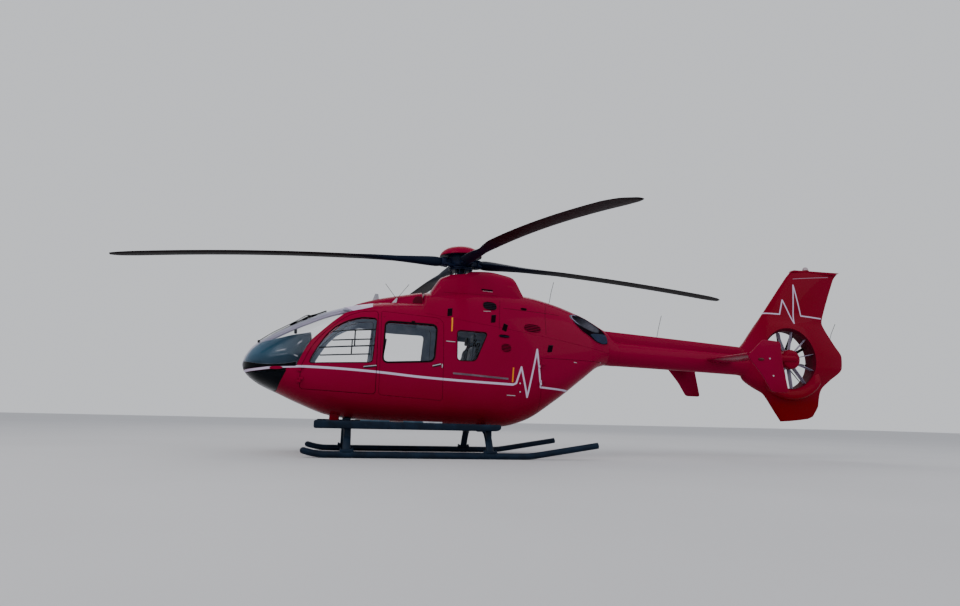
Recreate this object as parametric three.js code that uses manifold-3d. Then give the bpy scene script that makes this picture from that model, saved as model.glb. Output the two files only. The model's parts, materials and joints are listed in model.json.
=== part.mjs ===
// A light twin-engined helicopter with a shrouded tail fan, parked on its skids.
// Millimetres, +Z up, nose towards -X, port side towards -Y. Every place below is measured from
// the mast axis and the ground; the last lines move the whole machine so that the middle of its
// overall length stands over the origin.
import * as THREE from "three";
import { mergeVertices } from "three/addons/utils/BufferGeometryUtils.js";
import Module from "manifold-3d";

const wasm = await Module();
wasm.setup();

// Driving dimensions
const MAST_X = -1000; // mast axis, from the middle of the overall length
const SEAT_GAP = 0.3; // between pieces that rest on each other
const DOOR_GAP = 10; // round a door that swings
const DOOR_CLEAR = 9; // between a closed door and the post behind it
const FIXED_DOOR_GAP = 4; // round the sliding door
const WALL = 40; // doors, posts, roof and cabin sides
const GLASS_SETBACK = 6; // pane below the skin
const GLASS = 10;
const FLOOR_Z = 790;
const ROTOR_RADIUS = 5100;
const ROTOR_Z = 3040;
const ROTOR_TURN = 8.4; // degrees that the blades stand round from the centre line
// Sag of each parked blade, in millimetres for each square millimetre of radius
const BLADE_DROOPS = [1.37e-5, 1.66e-5, 0.81e-5, 0.6e-5];
const FAN = { x: 5850, z: 1690, duct: 500, tip: 488, hub: 165 };
const SKID = { y: 1000, radius: 45, front: -2310, bend: 900, back: 1950, frontRise: 108, backRise: 215 };
const CROSS_TUBES = [
  { name: "front_cross_tube", x: -1700, crown: 440 },
  { name: "rear_cross_tube", x: 310, crown: 405 },
];
const STEP = { x0: -2160, x1: 470, y0: 830, y1: 1010, z0: 390, z1: 502, rise: 25, fall: 22 };

const PAINT = {
  red: { color: 0x8c0d22, roughness: 0.25, metalness: 0.0 },
  darkRed: { color: 0x7a0c20, roughness: 0.3, metalness: 0.0 },
  white: { color: 0xc9ccd6, roughness: 0.3, metalness: 0.0 },
  black: { color: 0x15171c, roughness: 0.45, metalness: 0.0 },
  blade: { color: 0x26262b, roughness: 0.5, metalness: 0.0 },
  gear: { color: 0x1f2834, roughness: 0.4, metalness: 0.2 },
  metal: { color: 0x8a8a8c, roughness: 0.35, metalness: 0.9 },
  glass: { color: 0x9fb4c0, roughness: 0.05, metalness: 0.0, transparent: true, opacity: 0.35 },
  cloth: { color: 0x2c3440, roughness: 0.85, metalness: 0.0 },
};

// Solids

function solid(geometry) {
  const bare = geometry.clone();
  bare.deleteAttribute("normal");
  bare.deleteAttribute("uv");
  const merged = mergeVertices(bare, 1e-3);
  const triVerts = new Uint32Array(merged.index.array);
  const make = () =>
    new wasm.Manifold(
      new wasm.Mesh({ numProp: 3, vertProperties: merged.attributes.position.array, triVerts }),
    );
  const made = make();
  if (made.volume() > 0) return made;
  for (let i = 0; i < triVerts.length; i += 3)
    [triVerts[i + 1], triVerts[i + 2]] = [triVerts[i + 2], triVerts[i + 1]];
  return make();
}

function geometryOf(made) {
  const mesh = made.getMesh();
  const position = new Float32Array(mesh.numVert * 3);
  for (let i = 0; i < mesh.numVert; i++)
    position.set(mesh.vertProperties.subarray(i * mesh.numProp, i * mesh.numProp + 3), i * 3);
  const geometry = new THREE.BufferGeometry();
  geometry.setAttribute("position", new THREE.BufferAttribute(position, 3));
  geometry.setIndex(new THREE.BufferAttribute(new Uint32Array(mesh.triVerts), 1));
  return geometry;
}

// A closed skin over rings of equal count, with a flat cap at each end.
function loftGeometry(rings) {
  const count = rings[0].length;
  const position = rings.flat().flatMap((p) => [p.x, p.y, p.z]);
  const index = [];
  rings.slice(1).forEach((_, r) => {
    for (let k = 0; k < count; k++) {
      const a = r * count + k;
      const b = r * count + ((k + 1) % count);
      const portSide = rings[r][k].y + rings[r][b - r * count].y < 0;
      if (portSide) index.push(a, b, b + count, a, b + count, a + count);
      else index.push(a, b, a + count, b, b + count, a + count);
    }
  });
  [rings[0], rings.at(-1)].forEach((ring, end) => {
    const middle = ring.reduce((sum, p) => sum.add(p), new THREE.Vector3()).divideScalar(count);
    const first = end ? (rings.length - 1) * count : 0;
    const centre = position.length / 3;
    position.push(middle.x, middle.y, middle.z);
    for (let k = 0; k < count; k++) {
      const [a, b] = [first + k, first + ((k + 1) % count)];
      index.push(...(end ? [a, b, centre] : [b, a, centre]));
    }
  });
  const geometry = new THREE.BufferGeometry();
  geometry.setAttribute("position", new THREE.Float32BufferAttribute(position, 3));
  geometry.setIndex(index);
  return geometry;
}

const loft = (rings) => solid(loftGeometry(rings));

// The same skin moved outwards along its own normals, or inwards for a negative distance.
function offsetLoft(rings, distance) {
  const geometry = loftGeometry(rings);
  geometry.computeVertexNormals();
  const facesOut = solid(geometry).volume() > 0 && signedVolume(geometry) > 0;
  const { position, normal } = geometry.attributes;
  const step = facesOut ? distance : -distance;
  for (let i = 0; i < position.count; i++)
    position.setXYZ(
      i,
      position.getX(i) + normal.getX(i) * step,
      position.getY(i) + normal.getY(i) * step,
      position.getZ(i) + normal.getZ(i) * step,
    );
  return solid(geometry);
}

function signedVolume(geometry) {
  const { position } = geometry.attributes;
  const [a, b, c] = [new THREE.Vector3(), new THREE.Vector3(), new THREE.Vector3()];
  let total = 0;
  for (let i = 0; i < geometry.index.count; i += 3) {
    a.fromBufferAttribute(position, geometry.index.getX(i));
    b.fromBufferAttribute(position, geometry.index.getX(i + 1));
    c.fromBufferAttribute(position, geometry.index.getX(i + 2));
    total += a.dot(b.cross(c)) / 6;
  }
  return total;
}

// A row of a table at any station, on a smooth curve through its rows. Column 0 is the station.
function rowAt(rows, station) {
  const found = rows.findIndex((row, i) => i > 0 && station <= row[0]);
  const i = found < 0 ? rows.length - 1 : found;
  const [a, b] = [rows[i - 1], rows[i]];
  const [before, after] = [rows[i - 2] ?? a, rows[i + 1] ?? b];
  const span = b[0] - a[0];
  const t = (station - a[0]) / span;
  return a.map((value, c) => {
    const leave = slope(before, a, b, c) * span;
    const arrive = slope(a, b, after, c) * span;
    const [t2, t3] = [t * t, t * t * t];
    return (
      (2 * t3 - 3 * t2 + 1) * value + (t3 - 2 * t2 + t) * leave + (3 * t2 - 2 * t3) * b[c] + (t3 - t2) * arrive
    );
  });
}

// The slope at the middle row of three, flat where the rows turn back, so that no curve overshoots.
function slope(before, row, after, c) {
  const [back, ahead] = [row[0] - before[0], after[0] - row[0]];
  if (!back) return (after[c] - row[c]) / ahead;
  if (!ahead) return (row[c] - before[c]) / back;
  const [s1, s2] = [(row[c] - before[c]) / back, (after[c] - row[c]) / ahead];
  if (s1 * s2 <= 0) return 0;
  return (back + ahead) / (back / s1 + ahead / s2);
}

// Every station of a table, with others between them no more than a step apart.
function stations(rows, step) {
  return rows.flatMap((row, i) => {
    if (i === rows.length - 1) return [row[0]];
    const parts = Math.ceil((rows[i + 1][0] - row[0]) / step);
    return Array.from({ length: parts }, (_, k) => row[0] + ((rows[i + 1][0] - row[0]) * k) / parts);
  });
}

const bent = (value, power) => Math.sign(value) * Math.abs(value) ** (2 / power);

// A rounded section across X: a superellipse whose upper and lower halves have their own powers.
function section([x, bottom, top, half, wide, upper, lower], count) {
  return Array.from({ length: count }, (_, k) => {
    const turn = (2 * Math.PI * k) / count;
    const power = Math.sin(turn) >= 0 ? upper : lower;
    const height = Math.sin(turn) >= 0 ? top - wide : wide - bottom;
    return new THREE.Vector3(x, half * bent(Math.cos(turn), power), wide + height * bent(Math.sin(turn), power));
  });
}

const sections = (rows, count, step) => stations(rows, step).map((x) => section(rowAt(rows, x), count));

// An outline in the side view, [x, z], carried across from one y to another.
function prism(outline, y0, y1) {
  const shape = new THREE.Shape(outline.map(([x, z]) => new THREE.Vector2(x, z)));
  const geometry = new THREE.ExtrudeGeometry(shape, { depth: y1 - y0, bevelEnabled: false });
  return solid(geometry.rotateX(Math.PI / 2).translate(0, y1, 0));
}

const box = (x0, x1, y0, y1, z0, z1) =>
  solid(
    new THREE.BoxGeometry(x1 - x0, y1 - y0, z1 - z0).translate((x0 + x1) / 2, (y0 + y1) / 2, (z0 + z1) / 2),
  );

// An outline moved inwards by a distance, corner by corner.
function inset(outline, distance) {
  const turned = Math.sign(THREE.ShapeUtils.area(outline.map(([x, y]) => new THREE.Vector2(x, y))));
  return outline.map((corner, i) => {
    const [before, after] = [outline.at(i - 1), outline[(i + 1) % outline.length]];
    const into = unit(corner[0] - before[0], corner[1] - before[1]);
    const out = unit(after[0] - corner[0], after[1] - corner[1]);
    const inwards = ([x, y]) => [-y * turned, x * turned];
    const [n1, n2] = [inwards(into), inwards(out)];
    const share = distance / (1 + n1[0] * n2[0] + n1[1] * n2[1]);
    return [corner[0] + (n1[0] + n2[0]) * share, corner[1] + (n1[1] + n2[1]) * share];
  });
}

function unit(x, y) {
  const length = Math.hypot(x, y);
  return [x / length, y / length];
}

// An outline whose corners are rounded with short curves.
function rounded(outline, radius, parts = 3) {
  return outline.flatMap((corner, i) => {
    const [before, after] = [outline.at(i - 1), outline[(i + 1) % outline.length]];
    const from = unit(before[0] - corner[0], before[1] - corner[1]);
    const to = unit(after[0] - corner[0], after[1] - corner[1]);
    const curve = new THREE.QuadraticBezierCurve(
      new THREE.Vector2(corner[0] + from[0] * radius, corner[1] + from[1] * radius),
      new THREE.Vector2(...corner),
      new THREE.Vector2(corner[0] + to[0] * radius, corner[1] + to[1] * radius),
    );
    return curve.getPoints(parts).map((p) => [p.x, p.y]);
  });
}

// A tube of oval section along points in a plane whose normal is the width axis.
function sweep(points, across, halfWidth, halfHeight, count = 12) {
  const rings = points.map((point, i) => {
    const ahead = points[Math.min(i + 1, points.length - 1)];
    const behind = points[Math.max(i - 1, 0)];
    const along = ahead.clone().sub(behind).normalize();
    const up = along.clone().cross(across).normalize();
    return Array.from({ length: count }, (_, k) => {
      const turn = (2 * Math.PI * k) / count;
      return point
        .clone()
        .addScaledVector(across, halfWidth * Math.cos(turn))
        .addScaledVector(up, halfHeight * Math.sin(turn));
    });
  });
  return loft(rings);
}

const cylinder = (radius, length, count = 24) => new THREE.CylinderGeometry(radius, radius, length, count);

const vec = (x, y, z) => new THREE.Vector3(x, y, z);

const mirrored = (made) => made.mirror([0, 1, 0]);

// Scene graph

const helicopter = new THREE.Group();
const airframe = new THREE.Group();
airframe.position.x = MAST_X;
helicopter.add(airframe);

function add(name, made, paint, parent = airframe) {
  const mesh = new THREE.Mesh(geometryOf(made), new THREE.MeshStandardMaterial(PAINT[paint]));
  mesh.name = name;
  parent.add(mesh);
  return mesh;
}

// The same piece on the port side and, mirrored, on the starboard side.
function addPair(name, port, paint) {
  add(`${name}_left`, port, paint);
  add(`${name}_right`, mirrored(port), paint);
}

// Fuselage skin. Columns: x, bottom, top, half width, height of the widest point, upper power, lower power.
const BODY = [
  [-3270, 1255, 1305, 30, 1280, 2.0, 2.0],
  [-3240, 1180, 1400, 165, 1270, 2.0, 2.0],
  [-3150, 1085, 1540, 330, 1240, 2.1, 2.1],
  [-3000, 985, 1665, 470, 1205, 2.2, 2.2],
  [-2750, 870, 1810, 595, 1170, 2.3, 2.3],
  [-2400, 715, 1985, 695, 1140, 2.5, 2.5],
  [-2000, 570, 2150, 755, 1120, 2.7, 2.8],
  [-1600, 510, 2245, 778, 1100, 2.9, 3.2],
  [-1150, 490, 2310, 780, 1100, 2.9, 3.5],
  [-645, 476, 2335, 780, 1100, 2.9, 3.6],
  [-600, 475, 2500, 780, 1100, 2.4, 3.6],
  [0, 450, 2560, 778, 1100, 2.4, 3.6],
  [600, 440, 2570, 765, 1110, 2.4, 3.3],
  [1000, 530, 2545, 725, 1160, 2.4, 2.9],
  [1500, 830, 2440, 630, 1300, 2.3, 2.5],
  [2000, 1200, 2270, 475, 1500, 2.2, 2.2],
  [2300, 1420, 2120, 335, 1640, 2.1, 2.1],
  [2450, 1470, 2050, 245, 1680, 2.0, 2.0],
];
const RING = 28;
const skinRings = sections(BODY, RING, 380);
const skin = loft(skinRings);
const skinClear = offsetLoft(skinRings, SEAT_GAP);
const inside = (depth) => offsetLoft(skinRings.slice(1), -depth);
const outside = (depth) => box(-5000, 4000, -2000, 2000, -100, 4000).subtract(inside(depth));
const shell = skin.subtract(inside(WALL));
const pane = offsetLoft(skinRings, -GLASS_SETBACK).subtract(inside(GLASS_SETBACK + GLASS));

// Outlines in the side view, [x, z]
const FAR = 1500;
const DECK_FRONT = -645;
const TOP_Z = 3000;
const deckZ = (x) => 2100 - 0.147 * (x - DECK_FRONT);
const DECK_PLATE = 60;
const POST_FRONT = -1330;
const POST_BACK = -1290;
const AFT_X = -360;
const CARGO_X = 1150;
const CARGO_TOP = 1500;
const TAIL_X = 2450;
const WINDSHIELD = [
  [-3400, 1210],
  [-2465, 1240],
  [-2270, 1550],
  [-2030, 1830],
  [-1820, 2010],
  [-1700, 2085],
  [-2050, 2320],
  [-3400, 2320],
];
const CHIN_WINDOW = [
  [-3400, 1130],
  [-2590, 1180],
  [-2725, 900],
  [-2860, 880],
  [-3400, 880],
];
const COCKPIT_DOOR = [
  [-2400, 920],
  [-2400, 1225],
  [-2205, 1550],
  [-1965, 1830],
  [-1765, 1995],
  [-1570, 2085],
  [POST_FRONT, 2110],
  [POST_FRONT, 868],
];
const COCKPIT_WINDOW = rounded(
  [
    [-2295, 1290],
    [-2090, 1575],
    [-1890, 1805],
    [-1730, 1930],
    [-1560, 1990],
    [-1350, 1980],
    [-1400, 1325],
  ],
  35,
  2,
);
const sillZ = (x) => 868 - 0.065 * (x - POST_FRONT);
const SLIDING_DOOR = [
  [POST_BACK, sillZ(POST_BACK)],
  [POST_BACK, 2108],
  [-430, 2035],
  [AFT_X, 1975],
  [AFT_X, sillZ(AFT_X)],
];
const SLIDING_WINDOW = rounded(
  [
    [-1240, 1340],
    [-1215, 1935],
    [-470, 1910],
    [-510, 1380],
  ],
  70,
);
const AFT_WINDOW = rounded(
  [
    [-155, 1855],
    [310, 1838],
    [120, 1400],
    [-158, 1400],
  ],
  60,
);
const SILL = [
  [-2400, FLOOR_Z],
  [-2400, 920],
  [POST_FRONT, sillZ(POST_FRONT)],
  [AFT_X, sillZ(AFT_X)],
  [AFT_X, FLOOR_Z],
];
const belowDeck = [
  [-3400, 0],
  [-3400, TOP_Z],
  [DECK_FRONT, TOP_Z],
  [DECK_FRONT, deckZ(DECK_FRONT)],
  [TAIL_X, deckZ(TAIL_X)],
  [TAIL_X, 0],
];
const cabinSpace = prism(belowDeck, -FAR, FAR);
const half = (y0, y1) => box(-4000, 3000, y0, y1, 0, 3000);
const CENTRE_POST = 45;
const portOfPost = half(-FAR, -CENTRE_POST - SEAT_GAP);
const port = half(-FAR, 0);

// A door hinge on an upright axis: a fixed knuckle below and the door's own knuckle resting on it.
const KNUCKLE = { radius: 13, height: 38, clear: 8, arm: 45, armHalf: 9 };
const COCKPIT_HINGE = { x: -2395, y: -708, levels: [1010, 1170], armIn: 45 };
const CARGO_HINGE = { x: CARGO_X + 5, y: -716, levels: [1080, 1340], armIn: 50 };

function knuckle(hinge, level, along, grow) {
  const radius = KNUCKLE.radius + grow;
  const barrel = solid(
    cylinder(radius, KNUCKLE.height + 2 * grow, 12)
      .rotateX(Math.PI / 2)
      .translate(hinge.x, hinge.y, level + KNUCKLE.height / 2),
  );
  if (grow) return barrel;
  const inner = hinge.x + along * 15;
  const outer = hinge.x + along * KNUCKLE.arm;
  const arm = box(
    Math.min(inner, outer),
    Math.max(inner, outer),
    hinge.y - KNUCKLE.armHalf,
    hinge.y + hinge.armIn,
    level,
    level + KNUCKLE.height,
  );
  const neck = box(
    Math.min(hinge.x, outer),
    Math.max(hinge.x, outer),
    hinge.y - KNUCKLE.armHalf,
    hinge.y + KNUCKLE.armHalf,
    level,
    level + KNUCKLE.height,
  );
  return barrel.add(arm).add(neck);
}

// Both port hinges of a door as the solids to add to, and to clear from, the frame and the door.
function hingeParts(hinge) {
  const fixedLevels = hinge.levels;
  const doorLevels = hinge.levels.map((z) => z + KNUCKLE.height + SEAT_GAP);
  const join = (levels, along, grow) =>
    levels.map((z) => knuckle(hinge, z, along, grow)).reduce((all, one) => all.add(one));
  return {
    fixed: join(fixedLevels, -1, 0),
    moving: join(doorLevels, 1, 0),
    fixedClear: join(fixedLevels, -1, KNUCKLE.clear),
    movingClear: join(doorLevels, 1, KNUCKLE.clear),
  };
}

const cockpitHinge = hingeParts(COCKPIT_HINGE);
const cargoHinge = hingeParts(CARGO_HINGE);

// A frame with the fixed knuckles of a pair of doors added and room cut for the doors' own.
function withFixedHinges(made, { fixed, movingClear }) {
  return made
    .subtract(movingClear.add(mirrored(movingClear)))
    .add(fixed.subtract(inside(WALL - 2)))
    .add(mirrored(fixed.subtract(inside(WALL - 2))));
}

const withMovingHinges = (made, { moving, fixedClear }) =>
  made.subtract(fixedClear).add(moving.subtract(inside(WALL - 2)));

function buildCabin() {
  const floorTub = skin.intersect(box(-3400, CARGO_X, -FAR, FAR, 0, FLOOR_Z));
  const sills = shell.intersect(prism(SILL, -FAR, FAR));
  add("belly", floorTub.add(sills), "red");

  const ceiling = inside(WALL - 1).intersect(
    prism(
      [
        [DECK_FRONT - WALL, deckZ(DECK_FRONT) - DECK_PLATE],
        [DECK_FRONT - WALL, TOP_Z],
        [DECK_FRONT, TOP_Z],
        [DECK_FRONT, deckZ(DECK_FRONT)],
        [CARGO_X, deckZ(CARGO_X)],
        [CARGO_X, deckZ(CARGO_X) - DECK_PLATE],
      ],
      -FAR,
      FAR,
    ),
  );
  const doorways = prism(COCKPIT_DOOR, -FAR, FAR).add(prism(SLIDING_DOOR, -FAR, FAR));
  const aboveSill = prism(inset(SILL, -SEAT_GAP), -FAR, FAR);
  const innerPosts = inside(WALL - 1)
    .subtract(inside(2 * WALL))
    .intersect(box(POST_FRONT - 45, POST_BACK + 45, -FAR, FAR, FLOOR_Z + SEAT_GAP, TOP_Z))
    .subtract(outside(WALL + DOOR_CLEAR).intersect(doorways))
    .subtract(outside(WALL + SEAT_GAP).intersect(aboveSill));
  const roofPlate = shell.intersect(box(-3400, AFT_X, -FAR, FAR, FLOOR_Z + SEAT_GAP, TOP_Z));
  const centrePost = skin
    .subtract(inside(110))
    .intersect(prism(WINDSHIELD, -CENTRE_POST, CENTRE_POST));
  const holes = prism(WINDSHIELD, -FAR, FAR)
    .add(prism(CHIN_WINDOW, -FAR, -CENTRE_POST))
    .add(prism(CHIN_WINDOW, CENTRE_POST, FAR))
    .add(doorways);
  const frame = roofPlate
    .subtract(holes)
    .subtract(aboveSill)
    .add(centrePost)
    .add(innerPosts)
    .add(ceiling.subtract(outside(WALL + FIXED_DOOR_GAP).intersect(doorways)))
    .intersect(cabinSpace)
    .intersect(box(-3400, AFT_X - SEAT_GAP, -FAR, FAR, FLOOR_Z + SEAT_GAP, TOP_Z));
  add("cockpit_frame", withFixedHinges(frame, cockpitHinge), "red");

  const sides = shell
    .intersect(box(AFT_X, CARGO_X, -FAR, FAR, FLOOR_Z + SEAT_GAP, 2600))
    .subtract(prism(AFT_WINDOW, -FAR, FAR));
  const boomRoot = skin.intersect(box(CARGO_X, TAIL_X, -FAR, FAR, CARGO_TOP, 2600));
  const aft = sides
    .add(ceiling.intersect(box(AFT_X, CARGO_X, -FAR, FAR, 0, 2600)))
    .add(boomRoot)
    .intersect(cabinSpace);
  add("aft_fuselage", withFixedHinges(aft, cargoHinge), "red");
}

function buildPanes() {
  const cut = (outline) => pane.intersect(prism(inset(outline, SEAT_GAP), -FAR, FAR)).intersect(port);
  addPair("windshield", cut(WINDSHIELD).intersect(portOfPost), "glass");
  addPair("chin_window", cut(CHIN_WINDOW).intersect(portOfPost), "glass");
  addPair("cockpit_window", cut(COCKPIT_WINDOW), "glass");
  addPair("sliding_window", cut(SLIDING_WINDOW), "glass");
  addPair("aft_window", cut(AFT_WINDOW), "glass");
}

function buildDoors() {
  const door = (outline, window, gap) =>
    shell
      .intersect(prism(inset(outline, gap), -FAR, FAR))
      .subtract(prism(window, -FAR, FAR))
      .intersect(port);
  const cockpitDoor = door(COCKPIT_DOOR, COCKPIT_WINDOW, DOOR_GAP);
  addPair("cockpit_door", withMovingHinges(cockpitDoor, cockpitHinge), "red");
  const guide = shell
    .intersect(prism(inset(SLIDING_DOOR, SEAT_GAP), -FAR, 0))
    .intersect(box(-1150, -500, -FAR, 0, 0, 880));
  addPair("sliding_door", door(SLIDING_DOOR, SLIDING_WINDOW, FIXED_DOOR_GAP).add(guide), "red");
  const cargo = shell.intersect(
    box(CARGO_X + DOOR_GAP, TAIL_X, -FAR, -DOOR_GAP / 2, 0, CARGO_TOP - DOOR_GAP),
  );
  addPair("cargo_door", withMovingHinges(cargo, cargoHinge), "red");
}

// Upper deck. Columns as for the fuselage.
const FORWARD_FAIRING = [
  [-1800, 1900, 2190, 180, 2000, 2.2, 2],
  [-1600, 1900, 2285, 260, 2000, 2.4, 2],
  [-1250, 1900, 2385, 330, 2000, 2.6, 2],
  [-900, 1900, 2455, 370, 2000, 2.8, 2],
  [-560, 1900, 2515, 400, 2000, 3.0, 2],
];
const MAST_FAIRING = [
  [-510, 2300, 2505, 370, 2350, 3.0, 2],
  [-420, 2300, 2650, 370, 2350, 3.0, 2],
  [-330, 2300, 2765, 370, 2350, 2.8, 2],
  [-100, 2300, 2850, 370, 2350, 2.6, 2],
  [200, 2300, 2905, 370, 2350, 2.5, 2],
  [450, 2300, 2915, 360, 2350, 2.5, 2],
  [700, 2300, 2875, 350, 2350, 2.6, 2],
  [840, 2300, 2830, 340, 2350, 2.8, 2],
  [980, 2300, 2560, 330, 2350, 3.0, 2],
];
const COWL_WALL = 25;
const COWL_BACK = TAIL_X;
const MAST_HOLE = 210;

function buildCowlings(exhaustHoles) {
  const aboveDeck = prism(
    [
      [DECK_FRONT + SEAT_GAP, deckZ(DECK_FRONT) + SEAT_GAP],
      [DECK_FRONT + SEAT_GAP, 3000],
      [COWL_BACK, 3000],
      [COWL_BACK, deckZ(COWL_BACK) + SEAT_GAP],
    ],
    -FAR,
    FAR,
  );
  const hollow = inside(COWL_WALL).intersect(
    box(DECK_FRONT + COWL_WALL, 2150, -FAR, FAR, 0, 3000),
  );
  const mastRings = sections(MAST_FAIRING, 28, 140);
  const mastClear = offsetLoft(mastRings, SEAT_GAP);
  const mastHollow = offsetLoft(mastRings, -COWL_WALL);
  const mastHole = solid(cylinder(MAST_HOLE, 1200).rotateX(Math.PI / 2).translate(0, 0, 2700));
  const cowling = skin
    .intersect(aboveDeck)
    .subtract(hollow)
    .subtract(exhaustHoles)
    .subtract(mastHollow)
    .subtract(mastHole);
  add("main_cowling", cowling, "red");
  const mast = loft(mastRings).subtract(mastHollow).subtract(skinClear).subtract(mastHole);
  add("mast_fairing", mast, "red");
  const forward = loft(sections(FORWARD_FAIRING, 24, 200))
    .subtract(skinClear.intersect(cabinSpace))
    .subtract(skinClear.intersect(offsetBox(aboveDeck)))
    .subtract(box(-4000, 3000, -FAR, FAR, 0, 2050))
    .subtract(mastClear);
  add("forward_fairing", forward.intersect(box(-4000, DECK_FRONT, -FAR, FAR, 0, 3000)), "red");
}

const offsetBox = (made) => made.translate([-2 * SEAT_GAP, 0, -2 * SEAT_GAP]);

// Engines, main gearbox and exhausts
const ENGINE = { x0: 620, x1: 1560, y: 300, halfY: 170, z0: 1990, z1: 2360 };
const GEARBOX = { x0: -330, x1: 330, half: 260, z1: 2420 };
const EXHAUST = {
  x: 1560,
  y: 250,
  z: 2140,
  radius: 105,
  wall: 8,
  clear: 12,
  inEngine: 40,
  length: 900,
  proud: 15,
  out: 10,
  down: 4,
};

function alongExhaust(geometry, from = 0) {
  return geometry
    .rotateZ(-Math.PI / 2)
    .translate(from, 0, 0)
    .rotateY(THREE.MathUtils.degToRad(EXHAUST.down))
    .rotateZ(-THREE.MathUtils.degToRad(EXHAUST.out))
    .translate(EXHAUST.x, -EXHAUST.y, EXHAUST.z);
}

function exhaustSolid(radius, from, length) {
  return solid(alongExhaust(cylinder(radius, length, 20), from + length / 2));
}

function buildPower() {
  const deckCut = prism(
    [
      [-4000, 0],
      [-4000, deckZ(-4000) + SEAT_GAP],
      [3000, deckZ(3000) + SEAT_GAP],
      [3000, 0],
    ],
    -FAR,
    FAR,
  );
  const engine = box(
    ENGINE.x0,
    ENGINE.x1,
    -ENGINE.y - ENGINE.halfY,
    -ENGINE.y + ENGINE.halfY,
    1700,
    ENGINE.z1,
  ).subtract(deckCut);
  const pipe = exhaustSolid(EXHAUST.radius, -EXHAUST.inEngine, EXHAUST.length)
    .subtract(exhaustSolid(EXHAUST.radius - EXHAUST.wall, 60, EXHAUST.length + 50))
    .intersect(offsetLoft(skinRings, EXHAUST.proud));
  const clear = engine
    .intersect(inside(COWL_WALL + 12))
    .subtract(exhaustSolid(EXHAUST.radius + SEAT_GAP, -EXHAUST.inEngine - SEAT_GAP, 300));
  addPair("engine", clear, "metal");
  addPair("exhaust", pipe, "metal");
  const gearbox = box(GEARBOX.x0, GEARBOX.x1, -GEARBOX.half, GEARBOX.half, 1800, GEARBOX.z1).subtract(deckCut);
  add("main_gearbox", gearbox, "metal");
}

// Tail boom. Columns as for the fuselage.
const BOOM = [
  [TAIL_X, 1470, 1885, 215, 1680, 2.0, 2.0],
  [3200, 1450, 1845, 195, 1650, 2.0, 2.0],
  [4200, 1420, 1795, 170, 1610, 2.0, 2.0],
  [4900, 1395, 1765, 150, 1580, 2.0, 2.0],
  [5250, 1330, 1800, 130, 1570, 2.0, 2.0],
];
const BOOM_END = 4900;
const SPINE = [
  [TAIL_X, 1700, 2045, 85, 1850, 3.2, 2.0],
  [3400, 1700, 1985, 80, 1820, 3.2, 2.0],
  [BOOM_END, 1650, 1885, 75, 1780, 3.2, 2.0],
];
const STABILIZER = { x0: 4250, x1: 4700, half: 1282, z: 1610, thick: 62 };
const END_PLATE = [
  [4255, 1600],
  [4540, 1862],
  [4835, 1838],
  [4850, 1500],
  [4928, 1055],
  [4640, 1060],
  [4500, 1300],
];
const END_PLATE_HALF = 14;

// A wing section, [along, up], with its nose at 0 and a given chord and thickness.
function wingSection(chord, thick, count = 14) {
  return Array.from({ length: count }, (_, k) => {
    const turn = (2 * Math.PI * k) / count;
    const along = (1 - Math.cos(turn)) / 2;
    const depth = Math.sqrt(along) * (1 - along) * 2.6 + 0.06;
    return [along * chord, (thick / 2) * depth * Math.sign(Math.round(Math.sin(turn) * 1e6))];
  });
}

function buildTailBoom() {
  const boomRings = sections(BOOM, 24, 700);
  const wing = loft(
    [-STABILIZER.half, STABILIZER.half].map((y) =>
      wingSection(STABILIZER.x1 - STABILIZER.x0, STABILIZER.thick).map(([x, z]) =>
        vec(STABILIZER.x0 + x, y, STABILIZER.z + z),
      ),
    ),
  );
  const wingSlot = loft(
    [-STABILIZER.half, STABILIZER.half].map((y) =>
      wingSection(STABILIZER.x1 - STABILIZER.x0 + 4, STABILIZER.thick + 2).map(([x, z]) =>
        vec(STABILIZER.x0 - 2 + x, y, STABILIZER.z + z),
      ),
    ),
  );
  add("stabilizer", wing, "darkRed");
  const boom = loft(boomRings).intersect(box(TAIL_X + SEAT_GAP, BOOM_END, -FAR, FAR, 0, 3000));
  add("tail_boom", boom.subtract(wingSlot), "red");
  const spine = loft(sections(SPINE, 20, 800))
    .subtract(offsetLoft(boomRings, SEAT_GAP))
    .intersect(box(TAIL_X + SEAT_GAP, BOOM_END, -FAR, FAR, 1700, 3000));
  add("drive_shaft_cover", spine, "red");
  const plate = prism(rounded(END_PLATE, 45, 2), -END_PLATE_HALF, END_PLATE_HALF);
  addPair(
    "end_plate",
    plate.translate([0, -STABILIZER.half - SEAT_GAP - END_PLATE_HALF, 0]),
    "red",
  );
}

// Fin and fan shroud. Columns: z, leading edge x, trailing edge x, half thickness.
const FIN = [
  [620, 5690, 6290, 45],
  [690, 5645, 6330, 50],
  [790, 5580, 6420, 60],
  [1080, 5390, 6490, 95],
  [1200, 5180, 6540, 150],
  [1340, 5000, 6700, 185],
  [1580, 4930, 6985, 200],
  [1770, 4930, 7000, 200],
  [2000, 5090, 6860, 195],
  [2250, 5275, 6700, 165],
  [2380, 5375, 6645, 115],
  [2520, 5480, 6680, 90],
  [3190, 5985, 6950, 55],
  [3320, 6110, 7055, 45],
];

// Rotation-symmetric body about the fan's own axis; profile points are [radius, y].
const fanLathe = (profile, count) =>
  solid(
    new THREE.LatheGeometry(
      profile.map(([r, y]) => new THREE.Vector2(r, y)),
      count,
    ),
  ).translate([FAN.x, 0, FAN.z]);

const DUCT_SIDES = 30;
const DUCT = [
  [0, -300],
  [640, -300],
  [600, -205],
  [545, -175],
  [512, -130],
  [FAN.duct, -80],
  [FAN.duct, 80],
  [512, 130],
  [545, 175],
  [600, 205],
  [640, 300],
  [0, 300],
];

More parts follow.
